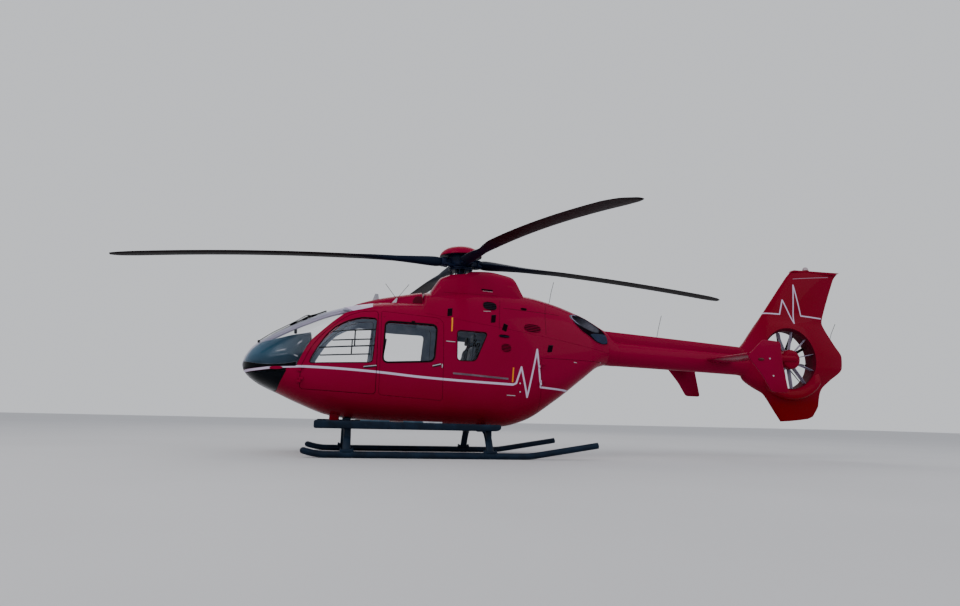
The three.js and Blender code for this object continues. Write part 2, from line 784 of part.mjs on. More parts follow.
function buildFin() {
  const rings = FIN.map(([z, lead, trail, thick]) =>
    wingSection(trail - lead, thick * 2, 22).map(([x, y]) => vec(lead + x, y, z)),
  );
  const boomEnd = loft(sections(BOOM, 24, 700)).intersect(
    box(BOOM_END + SEAT_GAP, 5300, -FAR, FAR, 0, 3000),
  );
  const spineEnd = box(BOOM_END + SEAT_GAP, 5250, -70, 70, 1600, 1860);
  const fin = loft(rings)
    .add(boomEnd)
    .add(spineEnd)
    .subtract(fanLathe(DUCT, DUCT_SIDES))
    .intersect(box(BOOM_END + SEAT_GAP, 7100, -FAR, FAR, 0, 3400));
  add("tail_fin", fin, "red");
}

// Tail fan: fixed vanes and gear housing on the port side, turning blades on the starboard side
const VANES = { count: 10, y: -75, chord: 62, thick: 16, hubBack: -30 };
const FAN_BLADES = { y: 70, chord: 78, thick: 14, pitch: 35, angles: [0, 33, 70, 106, 146, 180, 213, 250, 286, 326] };

// A flat vane from the hub outwards, turned about its own length and then about the fan's axis.
function vane(angle, y, from, to, chord, thick, pitch) {
  const blade = new THREE.BoxGeometry(chord, thick, to - from).translate(0, 0, (from + to) / 2);
  blade.rotateZ(THREE.MathUtils.degToRad(pitch));
  blade.rotateY(THREE.MathUtils.degToRad(angle));
  return solid(blade.translate(FAN.x, y, FAN.z));
}

function buildFan(parent) {
  const housing = fanLathe(
    [
      [0, -235],
      [60, -230],
      [125, -190],
      [FAN.hub + 5, -120],
      [FAN.hub + 5, VANES.hubBack],
      [0, VANES.hubBack],
    ],
    20,
  );
  const shaftTunnel = solid(cylinder(48, 420, 14).rotateZ(Math.PI / 2).translate(FAN.x - 310, -75, FAN.z));
  let stator = housing.add(shaftTunnel);
  for (let k = 0; k < VANES.count; k++)
    stator = stator.add(
      vane((360 / VANES.count) * (k + 0.5), VANES.y, 120, FAN.duct + 30, VANES.chord, VANES.thick, 78),
    );
  const inDuct = fanLathe(
    [
      [0, -260],
      [FAN.duct - SEAT_GAP, -260],
      [FAN.duct - SEAT_GAP, 0],
      [0, 0],
    ],
    DUCT_SIDES,
  );
  add("fan_stator", stator.intersect(inDuct), "darkRed");

  let rotor = fanLathe(
    [
      [0, VANES.hubBack + SEAT_GAP],
      [40, VANES.hubBack + SEAT_GAP],
      [40, 20],
      [FAN.hub, 20],
      [FAN.hub, 120],
      [110, 165],
      [0, 180],
    ],
    20,
  );
  FAN_BLADES.angles.forEach((angle) => {
    rotor = rotor.add(
      vane(angle, FAN_BLADES.y, 120, FAN.tip, FAN_BLADES.chord, FAN_BLADES.thick, FAN_BLADES.pitch),
    );
  });
  add("fan_rotor", rotor, "metal", parent);
}

// Main rotor. Blade columns: radius, chord, thickness.
const BLADE = [
  [285, 150, 110],
  [430, 205, 150],
  [800, 215, 112],
  [1100, 165, 84],
  [1450, 235, 68],
  [1800, 288, 44],
  [3200, 288, 38],
  [4700, 288, 32],
  [4980, 235, 26],
  [ROTOR_RADIUS, 120, 18],
];
const BLADE_NOSE = 0.3; // share of the chord ahead of the blade's own axis
const CAP = [
  [0, 3310],
  [120, 3302],
  [230, 3270],
  [310, 3215],
  [345, 3160],
  [335, 3140],
  [0, 3140],
];
const HUB_TOP = 3140 - SEAT_GAP;
const HUB_ARM = { wide: 130, bottom: 2994, top: 3086 };
const SWASH = { z0: 2860, z1: 2910, outer: 140, linkX: 160, linkY: 52, linkRadius: 13 };

const lathe = (profile, count) =>
  solid(
    new THREE.LatheGeometry(
      profile.map(([r, z]) => new THREE.Vector2(r, z)),
      count,
    ).rotateX(Math.PI / 2),
  );

function bladeSolid(droop) {
  const rings = stations(BLADE, 900).map((radius) => {
    const [, chord, thick] = rowAt(BLADE, radius);
    const sag = -droop * radius * radius;
    return wingSection(chord, thick, 12).map(([along, up]) =>
      vec(radius, chord * BLADE_NOSE - along, ROTOR_Z + sag + up),
    );
  });
  return loft(rings);
}

function buildRotor(parent) {
  const mast = lathe(
    [
      [0, GEARBOX.z1 + SEAT_GAP],
      [62, GEARBOX.z1 + SEAT_GAP],
      [62, HUB_ARM.bottom],
      [150, HUB_ARM.bottom + 4],
      [165, 3110],
      [120, HUB_TOP],
      [0, HUB_TOP],
    ],
    20,
  );
  let hub = mast;
  for (let k = 0; k < 4; k++)
    hub = hub.add(
      solid(
        new THREE.BoxGeometry(BLADE[0][0] - SEAT_GAP, HUB_ARM.wide, HUB_ARM.top - HUB_ARM.bottom)
          .translate((BLADE[0][0] - SEAT_GAP) / 2, 0, (HUB_ARM.top + HUB_ARM.bottom) / 2)
          .rotateZ(THREE.MathUtils.degToRad(180 + ROTOR_TURN + 90 * k)),
      ),
    );
  add("rotor_hub", hub, "black", parent);
  add("rotor_cap", lathe(CAP, 28), "darkRed", parent);
  BLADE_DROOPS.forEach((droop, k) => {
    const blade = add(`rotor_blade_${k + 1}`, bladeSolid(droop), "blade", parent);
    blade.rotation.z = THREE.MathUtils.degToRad(180 + ROTOR_TURN + 90 * k);
  });
  let swash = lathe(
    [
      [62 + SEAT_GAP, SWASH.z0],
      [SWASH.outer, SWASH.z0],
      [SWASH.outer, SWASH.z1],
      [62 + SEAT_GAP, SWASH.z1],
      [62 + SEAT_GAP, SWASH.z0],
    ],
    20,
  );
  const linkTop = HUB_ARM.bottom - SEAT_GAP;
  for (let k = 0; k < 4; k++) {
    const arm = new THREE.BoxGeometry(SWASH.linkX - 90 + SWASH.linkRadius, 34, 30).translate(
      (SWASH.linkX + 90 + SWASH.linkRadius) / 2,
      SWASH.linkY,
      SWASH.z0 + 25,
    );
    const link = cylinder(SWASH.linkRadius, linkTop - SWASH.z0 - 25, 8)
      .rotateX(Math.PI / 2)
      .translate(SWASH.linkX, SWASH.linkY, (linkTop + SWASH.z0 + 25) / 2);
    const turn = THREE.MathUtils.degToRad(180 + ROTOR_TURN + 90 * k);
    swash = swash.add(solid(arm.rotateZ(turn))).add(solid(link.rotateZ(turn)));
  }
  add("swashplate", swash, "black", parent);
}

// Landing gear

function skidPath() {
  const z = SKID.radius;
  const path = new THREE.CurvePath();
  path.add(
    new THREE.QuadraticBezierCurve3(
      vec(SKID.front, -SKID.y, SKID.frontRise),
      vec(SKID.front + 170, -SKID.y, z),
      vec(SKID.front + 340, -SKID.y, z),
    ),
  );
  path.add(
    new THREE.QuadraticBezierCurve3(
      vec(SKID.bend - 120, -SKID.y, z),
      vec(SKID.bend, -SKID.y, z),
      vec(SKID.bend + 120, -SKID.y, z + 20),
    ),
  );
  path.add(
    new THREE.LineCurve3(
      vec(SKID.back - 40, -SKID.y, SKID.backRise - 7),
      vec(SKID.back, -SKID.y, SKID.backRise),
    ),
  );
  return path.curves.flatMap((curve) => curve.getPoints(curve.type === "LineCurve3" ? 1 : 5));
}

const ARCH = [
  // y, and height of the cross tube's middle line as a share of its crown
  [0, 1],
  [430, 1],
  [600, 0.94],
  [760, 0.77],
  [880, 0.56],
  [965, 0.34],
  [1012, 0.1],
];
const ARCH_HALF = { wide: 62, high: 30 };
const CLAMP = { y: 372, halfX: 54, halfY: 44 };

function buildGear() {
  addPair("skid", sweep(skidPath(), vec(0, 1, 0), SKID.radius, SKID.radius, 12), "gear");
  const portHalf = ARCH.map(([y, share]) => [-y, share]).reverse();
  const line = [...portHalf, ...ARCH.slice(1)];
  const skidTop = 2 * SKID.radius + SEAT_GAP;
  CROSS_TUBES.forEach(({ name, x, crown }) => {
    const arch = sweep(
      line.map(([y, share]) => vec(x, y, crown * share)),
      vec(1, 0, 0),
      ARCH_HALF.wide,
      ARCH_HALF.high,
    ).intersect(box(x - 300, x + 300, -FAR, FAR, skidTop, 900));
    let tube = arch;
    for (const side of [-1, 1]) {
      const y = side * CLAMP.y;
      tube = tube.add(
        box(x - CLAMP.halfX, x + CLAMP.halfX, y - CLAMP.halfY, y + CLAMP.halfY, crown, 600).subtract(
          skinClear,
        ),
      );
      const shoe = box(x - 95, x + 95, side * SKID.y - 40, side * SKID.y + 40, skidTop, skidTop + 38);
      tube = tube.add(shoe);
      const bracket = box(x - 40, x + 40, side * 880 - 30, side * 880 + 30, 240, STEP.z0 - SEAT_GAP);
      tube = tube.add(bracket);
    }
    add(name, tube, "gear");
  });
  const board = prism(
    rounded(
      [
        [STEP.x0, STEP.z0],
        [STEP.x0, STEP.z1],
        [STEP.x1, STEP.z1 - STEP.fall],
        [STEP.x1, STEP.z0 + STEP.rise],
        [STEP.x1 - 60, STEP.z0],
      ],
      24,
      2,
    ),
    -STEP.y1,
    -STEP.y0,
  );
  addPair("step", board, "gear");
}

// Cabin fittings
const PILOT_SEAT = { x: -1560, y: 370, half: 230 };
const ATTENDANT_SEAT = { x: -150, half: 220, ys: [-400, 90] };

// A seat facing forwards, from a side outline carried across its width.
function seat(x, y, halfWidth) {
  const outline = [
    [-270, 0],
    [-250, 330],
    [-290, 420],
    [210, 380],
    [300, 1060],
    [370, 1050],
    [300, 330],
    [220, 0],
  ];
  return prism(
    outline.map(([dx, dz]) => [x + dx, FLOOR_Z + SEAT_GAP + dz]),
    y - halfWidth,
    y + halfWidth,
  );
}

function buildInterior() {
  addPair("pilot_seat", seat(PILOT_SEAT.x, -PILOT_SEAT.y, PILOT_SEAT.half), "cloth");
  const panelOutline = [
    [-2780, FLOOR_Z + SEAT_GAP],
    [-3020, 1262],
    [-3020, 1480],
    [-2764, 1640],
    [-2300, 1740],
    [-2280, 1700],
    [-2400, 1200],
    [-1950, 1000],
    [-1950, FLOOR_Z + SEAT_GAP],
  ];
  const hood = prism(panelOutline.slice(1, 7), -600, 600).intersect(offsetLoft(skinRings, -75));
  const pedestal = prism(panelOutline, -110, 110).intersect(offsetLoft(skinRings, -125));
  const fitted = hood.add(pedestal);
  add("instrument_panel", fitted, "black");
  const [first, second] = ATTENDANT_SEAT.ys;
  const rail = box(
    ATTENDANT_SEAT.x - 60,
    ATTENDANT_SEAT.x + 60,
    first,
    second,
    FLOOR_Z + SEAT_GAP,
    FLOOR_Z + 40,
  );
  const pair = seat(ATTENDANT_SEAT.x, first, 190).add(seat(ATTENDANT_SEAT.x, second, 190)).add(rail);
  add("attendant_seats", pair, "cloth");
  const stretcher = box(-1080, 900, 330, 640, 1010, 1110)
    .add(box(-900, -840, 380, 600, FLOOR_Z + SEAT_GAP, 1030))
    .add(box(640, 700, 380, 600, FLOOR_Z + SEAT_GAP, 1030));
  add("stretcher", stretcher, "cloth");
}

buildCabin();
buildPanes();
buildDoors();
const exhaustHole = exhaustSolid(EXHAUST.radius + EXHAUST.clear, 0, EXHAUST.length + 400);
buildCowlings(exhaustHole.add(mirrored(exhaustHole)));
buildPower();
buildTailBoom();
buildFin();
buildFan(airframe);
buildRotor(airframe);
buildGear();
buildInterior();

export default helicopter;
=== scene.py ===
"""A light twin-engined helicopter parked on its skids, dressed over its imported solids.

Sizes are metres. The tables hold places measured from the mast axis and the ground; a finished
piece is moved once, in its mesh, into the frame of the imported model.
"""
import functools
import json
import math

import bmesh
import bpy
from mathutils import Matrix, Vector
from mathutils.bvhtree import BVHTree


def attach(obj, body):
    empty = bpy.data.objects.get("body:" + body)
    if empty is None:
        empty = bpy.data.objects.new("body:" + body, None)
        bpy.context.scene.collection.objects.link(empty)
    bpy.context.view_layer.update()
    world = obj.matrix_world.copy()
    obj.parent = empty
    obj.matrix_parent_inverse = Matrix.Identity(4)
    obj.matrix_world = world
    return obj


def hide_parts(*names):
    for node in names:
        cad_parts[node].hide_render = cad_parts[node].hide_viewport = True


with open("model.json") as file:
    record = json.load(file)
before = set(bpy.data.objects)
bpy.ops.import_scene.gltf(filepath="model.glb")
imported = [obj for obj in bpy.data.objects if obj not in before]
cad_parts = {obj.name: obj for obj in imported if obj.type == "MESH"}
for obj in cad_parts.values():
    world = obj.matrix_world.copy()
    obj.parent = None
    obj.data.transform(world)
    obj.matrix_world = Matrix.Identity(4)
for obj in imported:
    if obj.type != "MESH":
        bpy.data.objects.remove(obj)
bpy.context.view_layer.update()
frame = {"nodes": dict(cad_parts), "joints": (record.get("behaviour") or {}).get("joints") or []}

bl_info = {
    "name": "Parked light helicopter",
    "version": (1, 0, 0),
    "blender": (4, 5, 0),
    "location": "View3D > Sidebar > Helicopter",
    "description": "Builds the skin, glazing, rotor, tail and cabin of a light helicopter",
    "category": "Object",
}

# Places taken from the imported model
JOINTS = {joint["name"]: Vector(joint["pos_m"]) for joint in frame["joints"]}
MAST = JOINTS["rotor_spin"]
HOME = Matrix.Translation((MAST.x, 0, 0))
FAN_AXIS = JOINTS["fan_spin"] - Vector((MAST.x, 0, 0))

# Fuselage skin: x, bottom, top, half width, height of the widest point, upper power, lower power
BODY = [
    (-3.270, 1.255, 1.305, 0.030, 1.280, 2.0, 2.0),
    (-3.240, 1.180, 1.400, 0.165, 1.270, 2.0, 2.0),
    (-3.150, 1.085, 1.540, 0.330, 1.240, 2.1, 2.1),
    (-3.000, 0.985, 1.665, 0.470, 1.205, 2.2, 2.2),
    (-2.750, 0.870, 1.810, 0.595, 1.170, 2.3, 2.3),
    (-2.400, 0.715, 1.985, 0.695, 1.140, 2.5, 2.5),
    (-2.000, 0.570, 2.150, 0.755, 1.120, 2.7, 2.8),
    (-1.600, 0.510, 2.245, 0.778, 1.100, 2.9, 3.2),
    (-1.150, 0.490, 2.310, 0.780, 1.100, 2.9, 3.5),
    (-0.645, 0.476, 2.335, 0.780, 1.100, 2.9, 3.6),
    (-0.600, 0.475, 2.500, 0.780, 1.100, 2.4, 3.6),
    (0.000, 0.450, 2.560, 0.778, 1.100, 2.4, 3.6),
    (0.600, 0.440, 2.570, 0.765, 1.110, 2.4, 3.3),
    (1.000, 0.530, 2.545, 0.725, 1.160, 2.4, 2.9),
    (1.500, 0.830, 2.440, 0.630, 1.300, 2.3, 2.5),
    (2.000, 1.200, 2.270, 0.475, 1.500, 2.2, 2.2),
    (2.300, 1.420, 2.120, 0.335, 1.640, 2.1, 2.1),
    (2.450, 1.470, 2.050, 0.245, 1.680, 2.0, 2.0),
]
FORWARD_FAIRING = [
    (-1.800, 1.900, 2.190, 0.180, 2.000, 2.2, 2),
    (-1.600, 1.900, 2.285, 0.260, 2.000, 2.4, 2),
    (-1.250, 1.900, 2.385, 0.330, 2.000, 2.6, 2),
    (-0.900, 1.900, 2.455, 0.370, 2.000, 2.8, 2),
    (-0.645, 1.900, 2.500, 0.393, 2.000, 3.0, 2),
]
MAST_FAIRING = [
    (-0.510, 2.300, 2.505, 0.370, 2.350, 3.0, 2),
    (-0.420, 2.300, 2.650, 0.370, 2.350, 3.0, 2),
    (-0.330, 2.300, 2.765, 0.370, 2.350, 2.8, 2),
    (-0.100, 2.300, 2.850, 0.370, 2.350, 2.6, 2),
    (0.200, 2.300, 2.905, 0.370, 2.350, 2.5, 2),
    (0.450, 2.300, 2.915, 0.360, 2.350, 2.5, 2),
    (0.700, 2.300, 2.875, 0.350, 2.350, 2.6, 2),
    (0.840, 2.300, 2.830, 0.340, 2.350, 2.8, 2),
    (0.980, 2.300, 2.560, 0.330, 2.350, 3.0, 2),
]
BOOM = [
    (2.450, 1.470, 1.885, 0.215, 1.680, 2.0, 2.0),
    (3.200, 1.450, 1.845, 0.195, 1.650, 2.0, 2.0),
    (4.200, 1.420, 1.795, 0.170, 1.610, 2.0, 2.0),
    (4.900, 1.395, 1.765, 0.150, 1.580, 2.0, 2.0),
    (5.250, 1.330, 1.800, 0.130, 1.570, 2.0, 2.0),
]
SPINE = [
    (2.450, 1.700, 2.045, 0.085, 1.850, 3.2, 2.0),
    (3.400, 1.700, 1.985, 0.080, 1.820, 3.2, 2.0),
    (4.900, 1.650, 1.885, 0.075, 1.780, 3.2, 2.0),
    (5.040, 1.655, 1.870, 0.070, 1.775, 3.2, 2.0),
]
# Fin: z, leading edge x, trailing edge x, half thickness
FIN = [
    (0.620, 5.690, 6.335, 0.045),
    (0.690, 5.645, 6.375, 0.050),
    (0.790, 5.580, 6.430, 0.060),
    (1.080, 5.390, 6.490, 0.095),
    (1.200, 5.180, 6.540, 0.150),
    (1.340, 5.000, 6.700, 0.185),
    (1.580, 4.930, 6.985, 0.200),
    (1.770, 4.930, 7.000, 0.200),
    (2.000, 5.090, 6.860, 0.195),
    (2.250, 5.275, 6.700, 0.165),
    (2.380, 5.375, 6.645, 0.115),
    (2.520, 5.480, 6.680, 0.090),
    (3.190, 5.985, 6.950, 0.055),
    (3.320, 6.110, 7.055, 0.045),
]
# Rotor blade: radius, chord, thickness
BLADE = [
    (0.285, 0.150, 0.110),
    (0.430, 0.205, 0.150),
    (0.800, 0.215, 0.112),
    (1.100, 0.165, 0.084),
    (1.450, 0.235, 0.068),
    (1.800, 0.288, 0.044),
    (3.200, 0.288, 0.038),
    (4.700, 0.288, 0.032),
    (4.980, 0.235, 0.026),
    (5.100, 0.120, 0.018),
]
BLADE_NOSE = 0.3
BLADE_SAGS = (0.0137, 0.0166, 0.0081, 0.0060)
ROTOR_Z = 3.04
ROTOR_TURN = math.radians(8.4)

# Outlines in the side view, (x, z)
WINDSHIELD = [(-3.4, 1.21), (-2.465, 1.24), (-2.35, 1.49), (-2.26, 1.64), (-2.12, 1.78), (-1.98, 1.916),
              (-1.82, 2.055), (-1.70, 2.10), (-2.05, 2.32), (-3.4, 2.32)]
CHIN_WINDOW = [(-3.4, 1.13), (-2.59, 1.18), (-2.725, 0.90), (-2.86, 0.88), (-3.4, 0.88)]
COCKPIT_DOOR = [(-2.40, 0.92), (-2.40, 1.235), (-2.285, 1.49), (-2.19, 1.64), (-2.05, 1.79), (-1.91, 1.91),
                (-1.765, 2.02), (-1.57, 2.09), (-1.33, 2.11), (-1.33, 0.868)]
COCKPIT_WINDOW = [(-2.29, 1.29), (-2.236, 1.413), (-2.175, 1.527), (-2.068, 1.695), (-1.946, 1.827),
                  (-1.813, 1.908), (-1.70, 1.955), (-1.56, 1.99), (-1.35, 1.98), (-1.40, 1.325)]
SLIDING_DOOR = [(-1.29, 0.8654), (-1.29, 2.108), (-0.43, 2.035), (-0.36, 1.975), (-0.36, 0.805)]
SLIDING_WINDOW = [(-1.24, 1.34), (-1.215, 1.935), (-0.47, 1.91), (-0.51, 1.38)]
AFT_WINDOW = [(-0.155, 1.855), (0.31, 1.838), (0.12, 1.40), (-0.158, 1.40)]
# The long white stripe, the edge of the black paint on the windshields and the two drawn pulses
STRIPE_LINE = [(-3.24, 1.171), (-3.03, 1.190), (-2.84, 1.212), (-2.63, 1.229), (-2.41, 1.236), (-2.14, 1.231),
               (-1.45, 1.198), (-0.52, 1.127), (0.70, 1.073)]
FRIT_LINE = [(-3.24, 1.318), (-3.00, 1.276), (-2.73, 1.268), (-2.46, 1.306)]
BODY_PULSE = [(0.70, 1.072), (0.75, 1.096), (0.833, 1.338), (0.929, 0.896), (1.095, 1.618), (1.147, 1.048),
              (1.66, 1.015)]
FIN_PULSE = [(5.43, 2.503), (5.736, 2.489), (5.823, 2.751), (5.99, 2.335), (6.069, 3.038), (6.168, 2.481),
             (6.62, 2.461)]
# A pale line along the lower edge of the fin's cap: a painted highlight
FIN_CAP_HIGHLIGHT = [(6.085, 3.155), (6.83, 3.233)]
CARGO_DOOR = [(1.16, 0.2), (1.16, 1.49), (2.45, 1.49), (2.45, 0.2)]
# The stabilizer, and the end plates' outer and inner sides
STABILIZER = {"x": 4.25, "z": 1.61, "half": 1.282, "chord": 0.45, "thick": 0.062, "nose_up": 0.087}
PLATE_SIDES = (-1.3103, -1.2823)
END_PLATE = [(4.255, 1.60), (4.54, 1.862), (4.835, 1.838), (4.85, 1.50), (4.928, 1.055), (4.64, 1.06),
             (4.50, 1.30)]
DECK_FRONT = -0.645
DECK_BACK = 2.45
FLOOR_Z = 0.79
CENTRE_POST = 0.045
# Gaps: round a cockpit door, round any other panel, round a pane, beside the centre post, and the thin
# seam between the cowling and the deck
DOOR_GAP = 0.008
PANEL_GAP = 0.005
PANE_GAP = 0.003
POST_GAP = 0.004
SEAM = 0.0014
# Points closer than this are one
TOUCHING = 1e-5
SHELL_WALL = 0.034
DOOR_SKIN = 0.032
PANE_WALL = 0.008
# The hinges' upright axes, (x, y) on the port side
FRONT_HINGE = (-2.395, -0.708)
REAR_HINGE = (1.155, -0.716)
EXHAUST = {"start": (1.56, -0.21, 2.14), "out": math.radians(10), "down": math.radians(4), "radius": 0.118}
# The leaf-shaped recess round an exhaust and the shield in its lower half
RECESS = [(1.775, 2.19), (1.78, 2.12), (1.815, 2.07), (1.931, 1.958), (2.046, 1.892), (2.166, 1.806),
          (2.30, 1.773), (2.435, 1.79), (2.436, 1.90), (2.38, 2.02), (2.28, 2.095), (2.12, 2.18),
          (1.93, 2.26), (1.82, 2.255)]
SHIELD = [(2.068, 1.932), (2.17, 1.95), (2.30, 1.957), (2.42, 1.95), (2.432, 1.82), (2.331, 1.786),
          (2.174, 1.832)]
SKID = {"y": 1.0, "radius": 0.045}
SKID_TOP = 0.0903
SKID_LINE = [(-2.275, 0.0945), (-2.225, 0.0804), (-2.14, 0.0608), (-2.055, 0.0489), (-1.97, 0.045),
             (-1.60, 0.045), (0.0, 0.045), (0.68, 0.045), (0.80, 0.0457), (0.90, 0.050), (1.02, 0.065),
             (1.30, 0.110), (1.88, 0.2035), (1.91, 0.2085)]
STEP = [(-2.16, 0.39), (-2.16, 0.502), (0.47, 0.480), (0.47, 0.415), (0.41, 0.39)]
# The hood over the instruments: sections as the body's
HOOD = [
    (-3.235, 1.200, 1.375, 0.130, 1.240, 2.0, 2.0),
    (-3.200, 1.200, 1.438, 0.205, 1.240, 2.0, 2.0),
    (-3.150, 1.200, 1.505, 0.280, 1.240, 2.1, 2.0),
    (-3.050, 1.200, 1.592, 0.385, 1.235, 2.3, 2.0),
    (-2.950, 1.200, 1.636, 0.455, 1.230, 2.6, 2.0),
    (-2.764, 1.195, 1.682, 0.520, 1.220, 3.1, 2.2),
    (-2.550, 1.190, 1.738, 0.570, 1.220, 3.4, 2.4),
    (-2.300, 1.185, 1.788, 0.600, 1.220, 3.4, 2.6),
]
CROSS_TUBES = (("front_cross_tube", -1.70, 0.44), ("rear_cross_tube", 0.31, 0.405))
ARCH = [(0.0, 1.0), (0.43, 1.0), (0.62, 0.965), (0.77, 0.86), (0.865, 0.66), (0.93, 0.45), (0.985, 0.25),
        (1.012, 0.1)]

# The view of the photograph: focal length and axis point in pixels, place and turns
CAMERA = {"size": (960, 606), "focal": 677.4312, "axis": (469.9, 287.3), "place": (-1.9683, -10.615, 0.5934),
          "yaw": 0.1981, "pitch": 0.1882, "roll": 0.0226}


def deck_z(x):
    return 2.1 - 0.147 * (x - DECK_FRONT)


# Curves through tables


def slope(before, row, after, column):
    """The slope at the middle of three rows, flat where they turn back, so no curve overshoots."""
    back, ahead = row[0] - before[0], after[0] - row[0]
    if not back:
        return (after[column] - row[column]) / ahead
    if not ahead:
        return (row[column] - before[column]) / back
    s1, s2 = (row[column] - before[column]) / back, (after[column] - row[column]) / ahead
    if s1 * s2 <= 0:
        return 0.0
    return (back + ahead) / (back / s1 + ahead / s2)


def row_at(rows, station):
    """A row of a table at any station, on a smooth curve through its rows."""
    i = next((n for n in range(1, len(rows)) if station <= rows[n][0]), len(rows) - 1)
    a, b = rows[i - 1], rows[i]
    before, after = rows[max(i - 2, 0)], rows[min(i + 1, len(rows) - 1)]
    span = b[0] - a[0]
    t = (station - a[0]) / span
    t2, t3 = t * t, t * t * t
    return [(2 * t3 - 3 * t2 + 1) * a[c] + (t3 - 2 * t2 + t) * slope(before, a, b, c) * span
            + (3 * t2 - 2 * t3) * b[c] + (t3 - t2) * slope(a, b, after, c) * span for c in range(len(a))]


def stations(rows, step):
    """Every station of a table, with others between them no more than a step apart."""
    found = []
    for a, b in zip(rows, rows[1:]):
        parts = max(1, math.ceil((b[0] - a[0]) / step - 1e-6))
        found += [a[0] + (b[0] - a[0]) * k / parts for k in range(parts)]
    return found + [rows[-1][0]]


def bend(value, power):
    return math.copysign(abs(value) ** (2 / power), value)


def section_point(row, turn):
    """A point of a rounded section whose upper and lower halves have their own powers."""
    x, bottom, top, half, wide, upper, lower = row
    c, s = math.cos(turn), math.sin(turn)
    power, height = (upper, top - wide) if s >= 0 else (lower, wide - bottom)
    return Vector((x, half * bend(c, power), wide + height * bend(s, power)))


def side_y(x, z, rows=BODY):
    """The port side of a body of sections, at a place in the side view."""
    _, bottom, top, half, wide, upper, lower = row_at(rows, x)
    power, height = (upper, top - wide) if z >= wide else (lower, wide - bottom)
    share = min(abs(z - wide) / height, 0.9999)
    return -half * (1 - share**power) ** (1 / power)


def side_point(x, z, rows=BODY):
    return Vector((x, side_y(x, z, rows), z))


def side_normal(x, z, rows=BODY):
    """The outward direction of the port side at a place in the side view."""
    step = 0.004
    dx = side_point(x + step, z, rows) - side_point(x - step, z, rows)
    dz = side_point(x, z + step, rows) - side_point(x, z - step, rows)
    return dx.cross(dz).normalized()


def smooth_path(points, step=0.05):
    """Points on a smooth curve through a few given ones."""
    ends = [Vector(points[0]) * 2 - Vector(points[1]), Vector(points[-1]) * 2 - Vector(points[-2])]
    p = [ends[0]] + [Vector(q) for q in points] + [ends[1]]
    path = []
    for i in range(1, len(p) - 2):
        parts = max(2, math.ceil((p[i + 1] - p[i]).length / step))
        for k in range(parts):
            t = k / parts
            path.append(0.5 * (2 * p[i] + (p[i + 1] - p[i - 1]) * t
                               + (2 * p[i - 1] - 5 * p[i] + 4 * p[i + 1] - p[i + 2]) * t * t
                               + (3 * p[i] - p[i - 1] - 3 * p[i + 1] + p[i + 2]) * t**3))
    return path + [p[-2]]


# Outlines


def area(outline):
    return sum(a[0] * b[1] - b[0] * a[1] for a, b in zip(outline, outline[1:] + outline[:1])) / 2


def unit(x, y):
    length = math.hypot(x, y) or 1.0
    return x / length, y / length


def inset(outline, distance):
    """An outline moved inwards, corner by corner."""
    turned = 1 if area(outline) > 0 else -1
    line = []
    for i, corner in enumerate(outline):
        before, after = outline[i - 1], outline[(i + 1) % len(outline)]
        ix, iy = unit(corner[0] - before[0], corner[1] - before[1])
        ox, oy = unit(after[0] - corner[0], after[1] - corner[1])
        n1, n2 = (-iy * turned, ix * turned), (-oy * turned, ox * turned)
        share = distance / (1 + n1[0] * n2[0] + n1[1] * n2[1])
        line.append((corner[0] + (n1[0] + n2[0]) * share, corner[1] + (n1[1] + n2[1]) * share))
    return line


def rounded(outline, radius, parts=4):
    """An outline whose corners are rounded with short curves."""
    found = []
    for i, corner in enumerate(outline):
        before, after = outline[i - 1], outline[(i + 1) % len(outline)]
        reach = [min(radius, 0.48 * math.hypot(end[0] - corner[0], end[1] - corner[1]))
                 for end in (before, after)]
        a = unit(before[0] - corner[0], before[1] - corner[1])
        b = unit(after[0] - corner[0], after[1] - corner[1])
        for k in range(parts + 1):
            t = k / parts
            found.append(tuple((1 - t) ** 2 * (corner[c] + a[c] * reach[0]) + 2 * t * (1 - t) * corner[c]
                               + t * t * (corner[c] + b[c] * reach[1]) for c in (0, 1)))
    return found


def oval(x0, x1, z0, z1, turn=0.0, parts=28, power=2.0):
    """An oval in the side view, as an outline."""
    cx, cz, rx, rz = (x0 + x1) / 2, (z0 + z1) / 2, (x1 - x0) / 2, (z1 - z0) / 2
    found = []
    for k in range(parts):
        angle = 2 * math.pi * k / parts
        u, w = rx * bend(math.cos(angle), power), rz * bend(math.sin(angle), power)
        found.append((cx + u * math.cos(turn) - w * math.sin(turn),
                      cz + u * math.sin(turn) + w * math.cos(turn)))
    return found


def within(outline, x, z):
    """Whether a place in the side view lies inside an outline."""
    odd = False
    for (ax, az), (bx, bz) in zip(outline, outline[1:] + outline[:1]):
        if (az > z) != (bz > z) and x < (bx - ax) * (z - az) / (bz - az) + ax:
            odd = not odd
    return odd


DOOR_LINE = rounded(COCKPIT_DOOR, 0.06)
SLIDE_LINE = rounded(SLIDING_DOOR, 0.05)
WINDOW_LINES = {
    "cockpit_window": rounded(COCKPIT_WINDOW, 0.05),
    "sliding_window": rounded(SLIDING_WINDOW, 0.075, 6),
    "aft_window": rounded(AFT_WINDOW, 0.06, 6),
}
# How far each window's rubber reaches outside and inside its opening
SEALS = {"cockpit_window": (-0.005, 0.004), "sliding_window": (-0.022, 0.003), "aft_window": (-0.006, 0.004)}


# Shapes


def grid(columns, rows, place):
    """A sheet of quads; place(i, j) gives the point of each corner."""
    bm = bmesh.new()
    bmesh.ops.create_grid(bm, x_segments=columns, y_segments=rows, size=0.5)
    for v in bm.verts:
        v.co = place(round((v.co.x + 0.5) * columns), round((v.co.y + 0.5) * rows))
    return bm


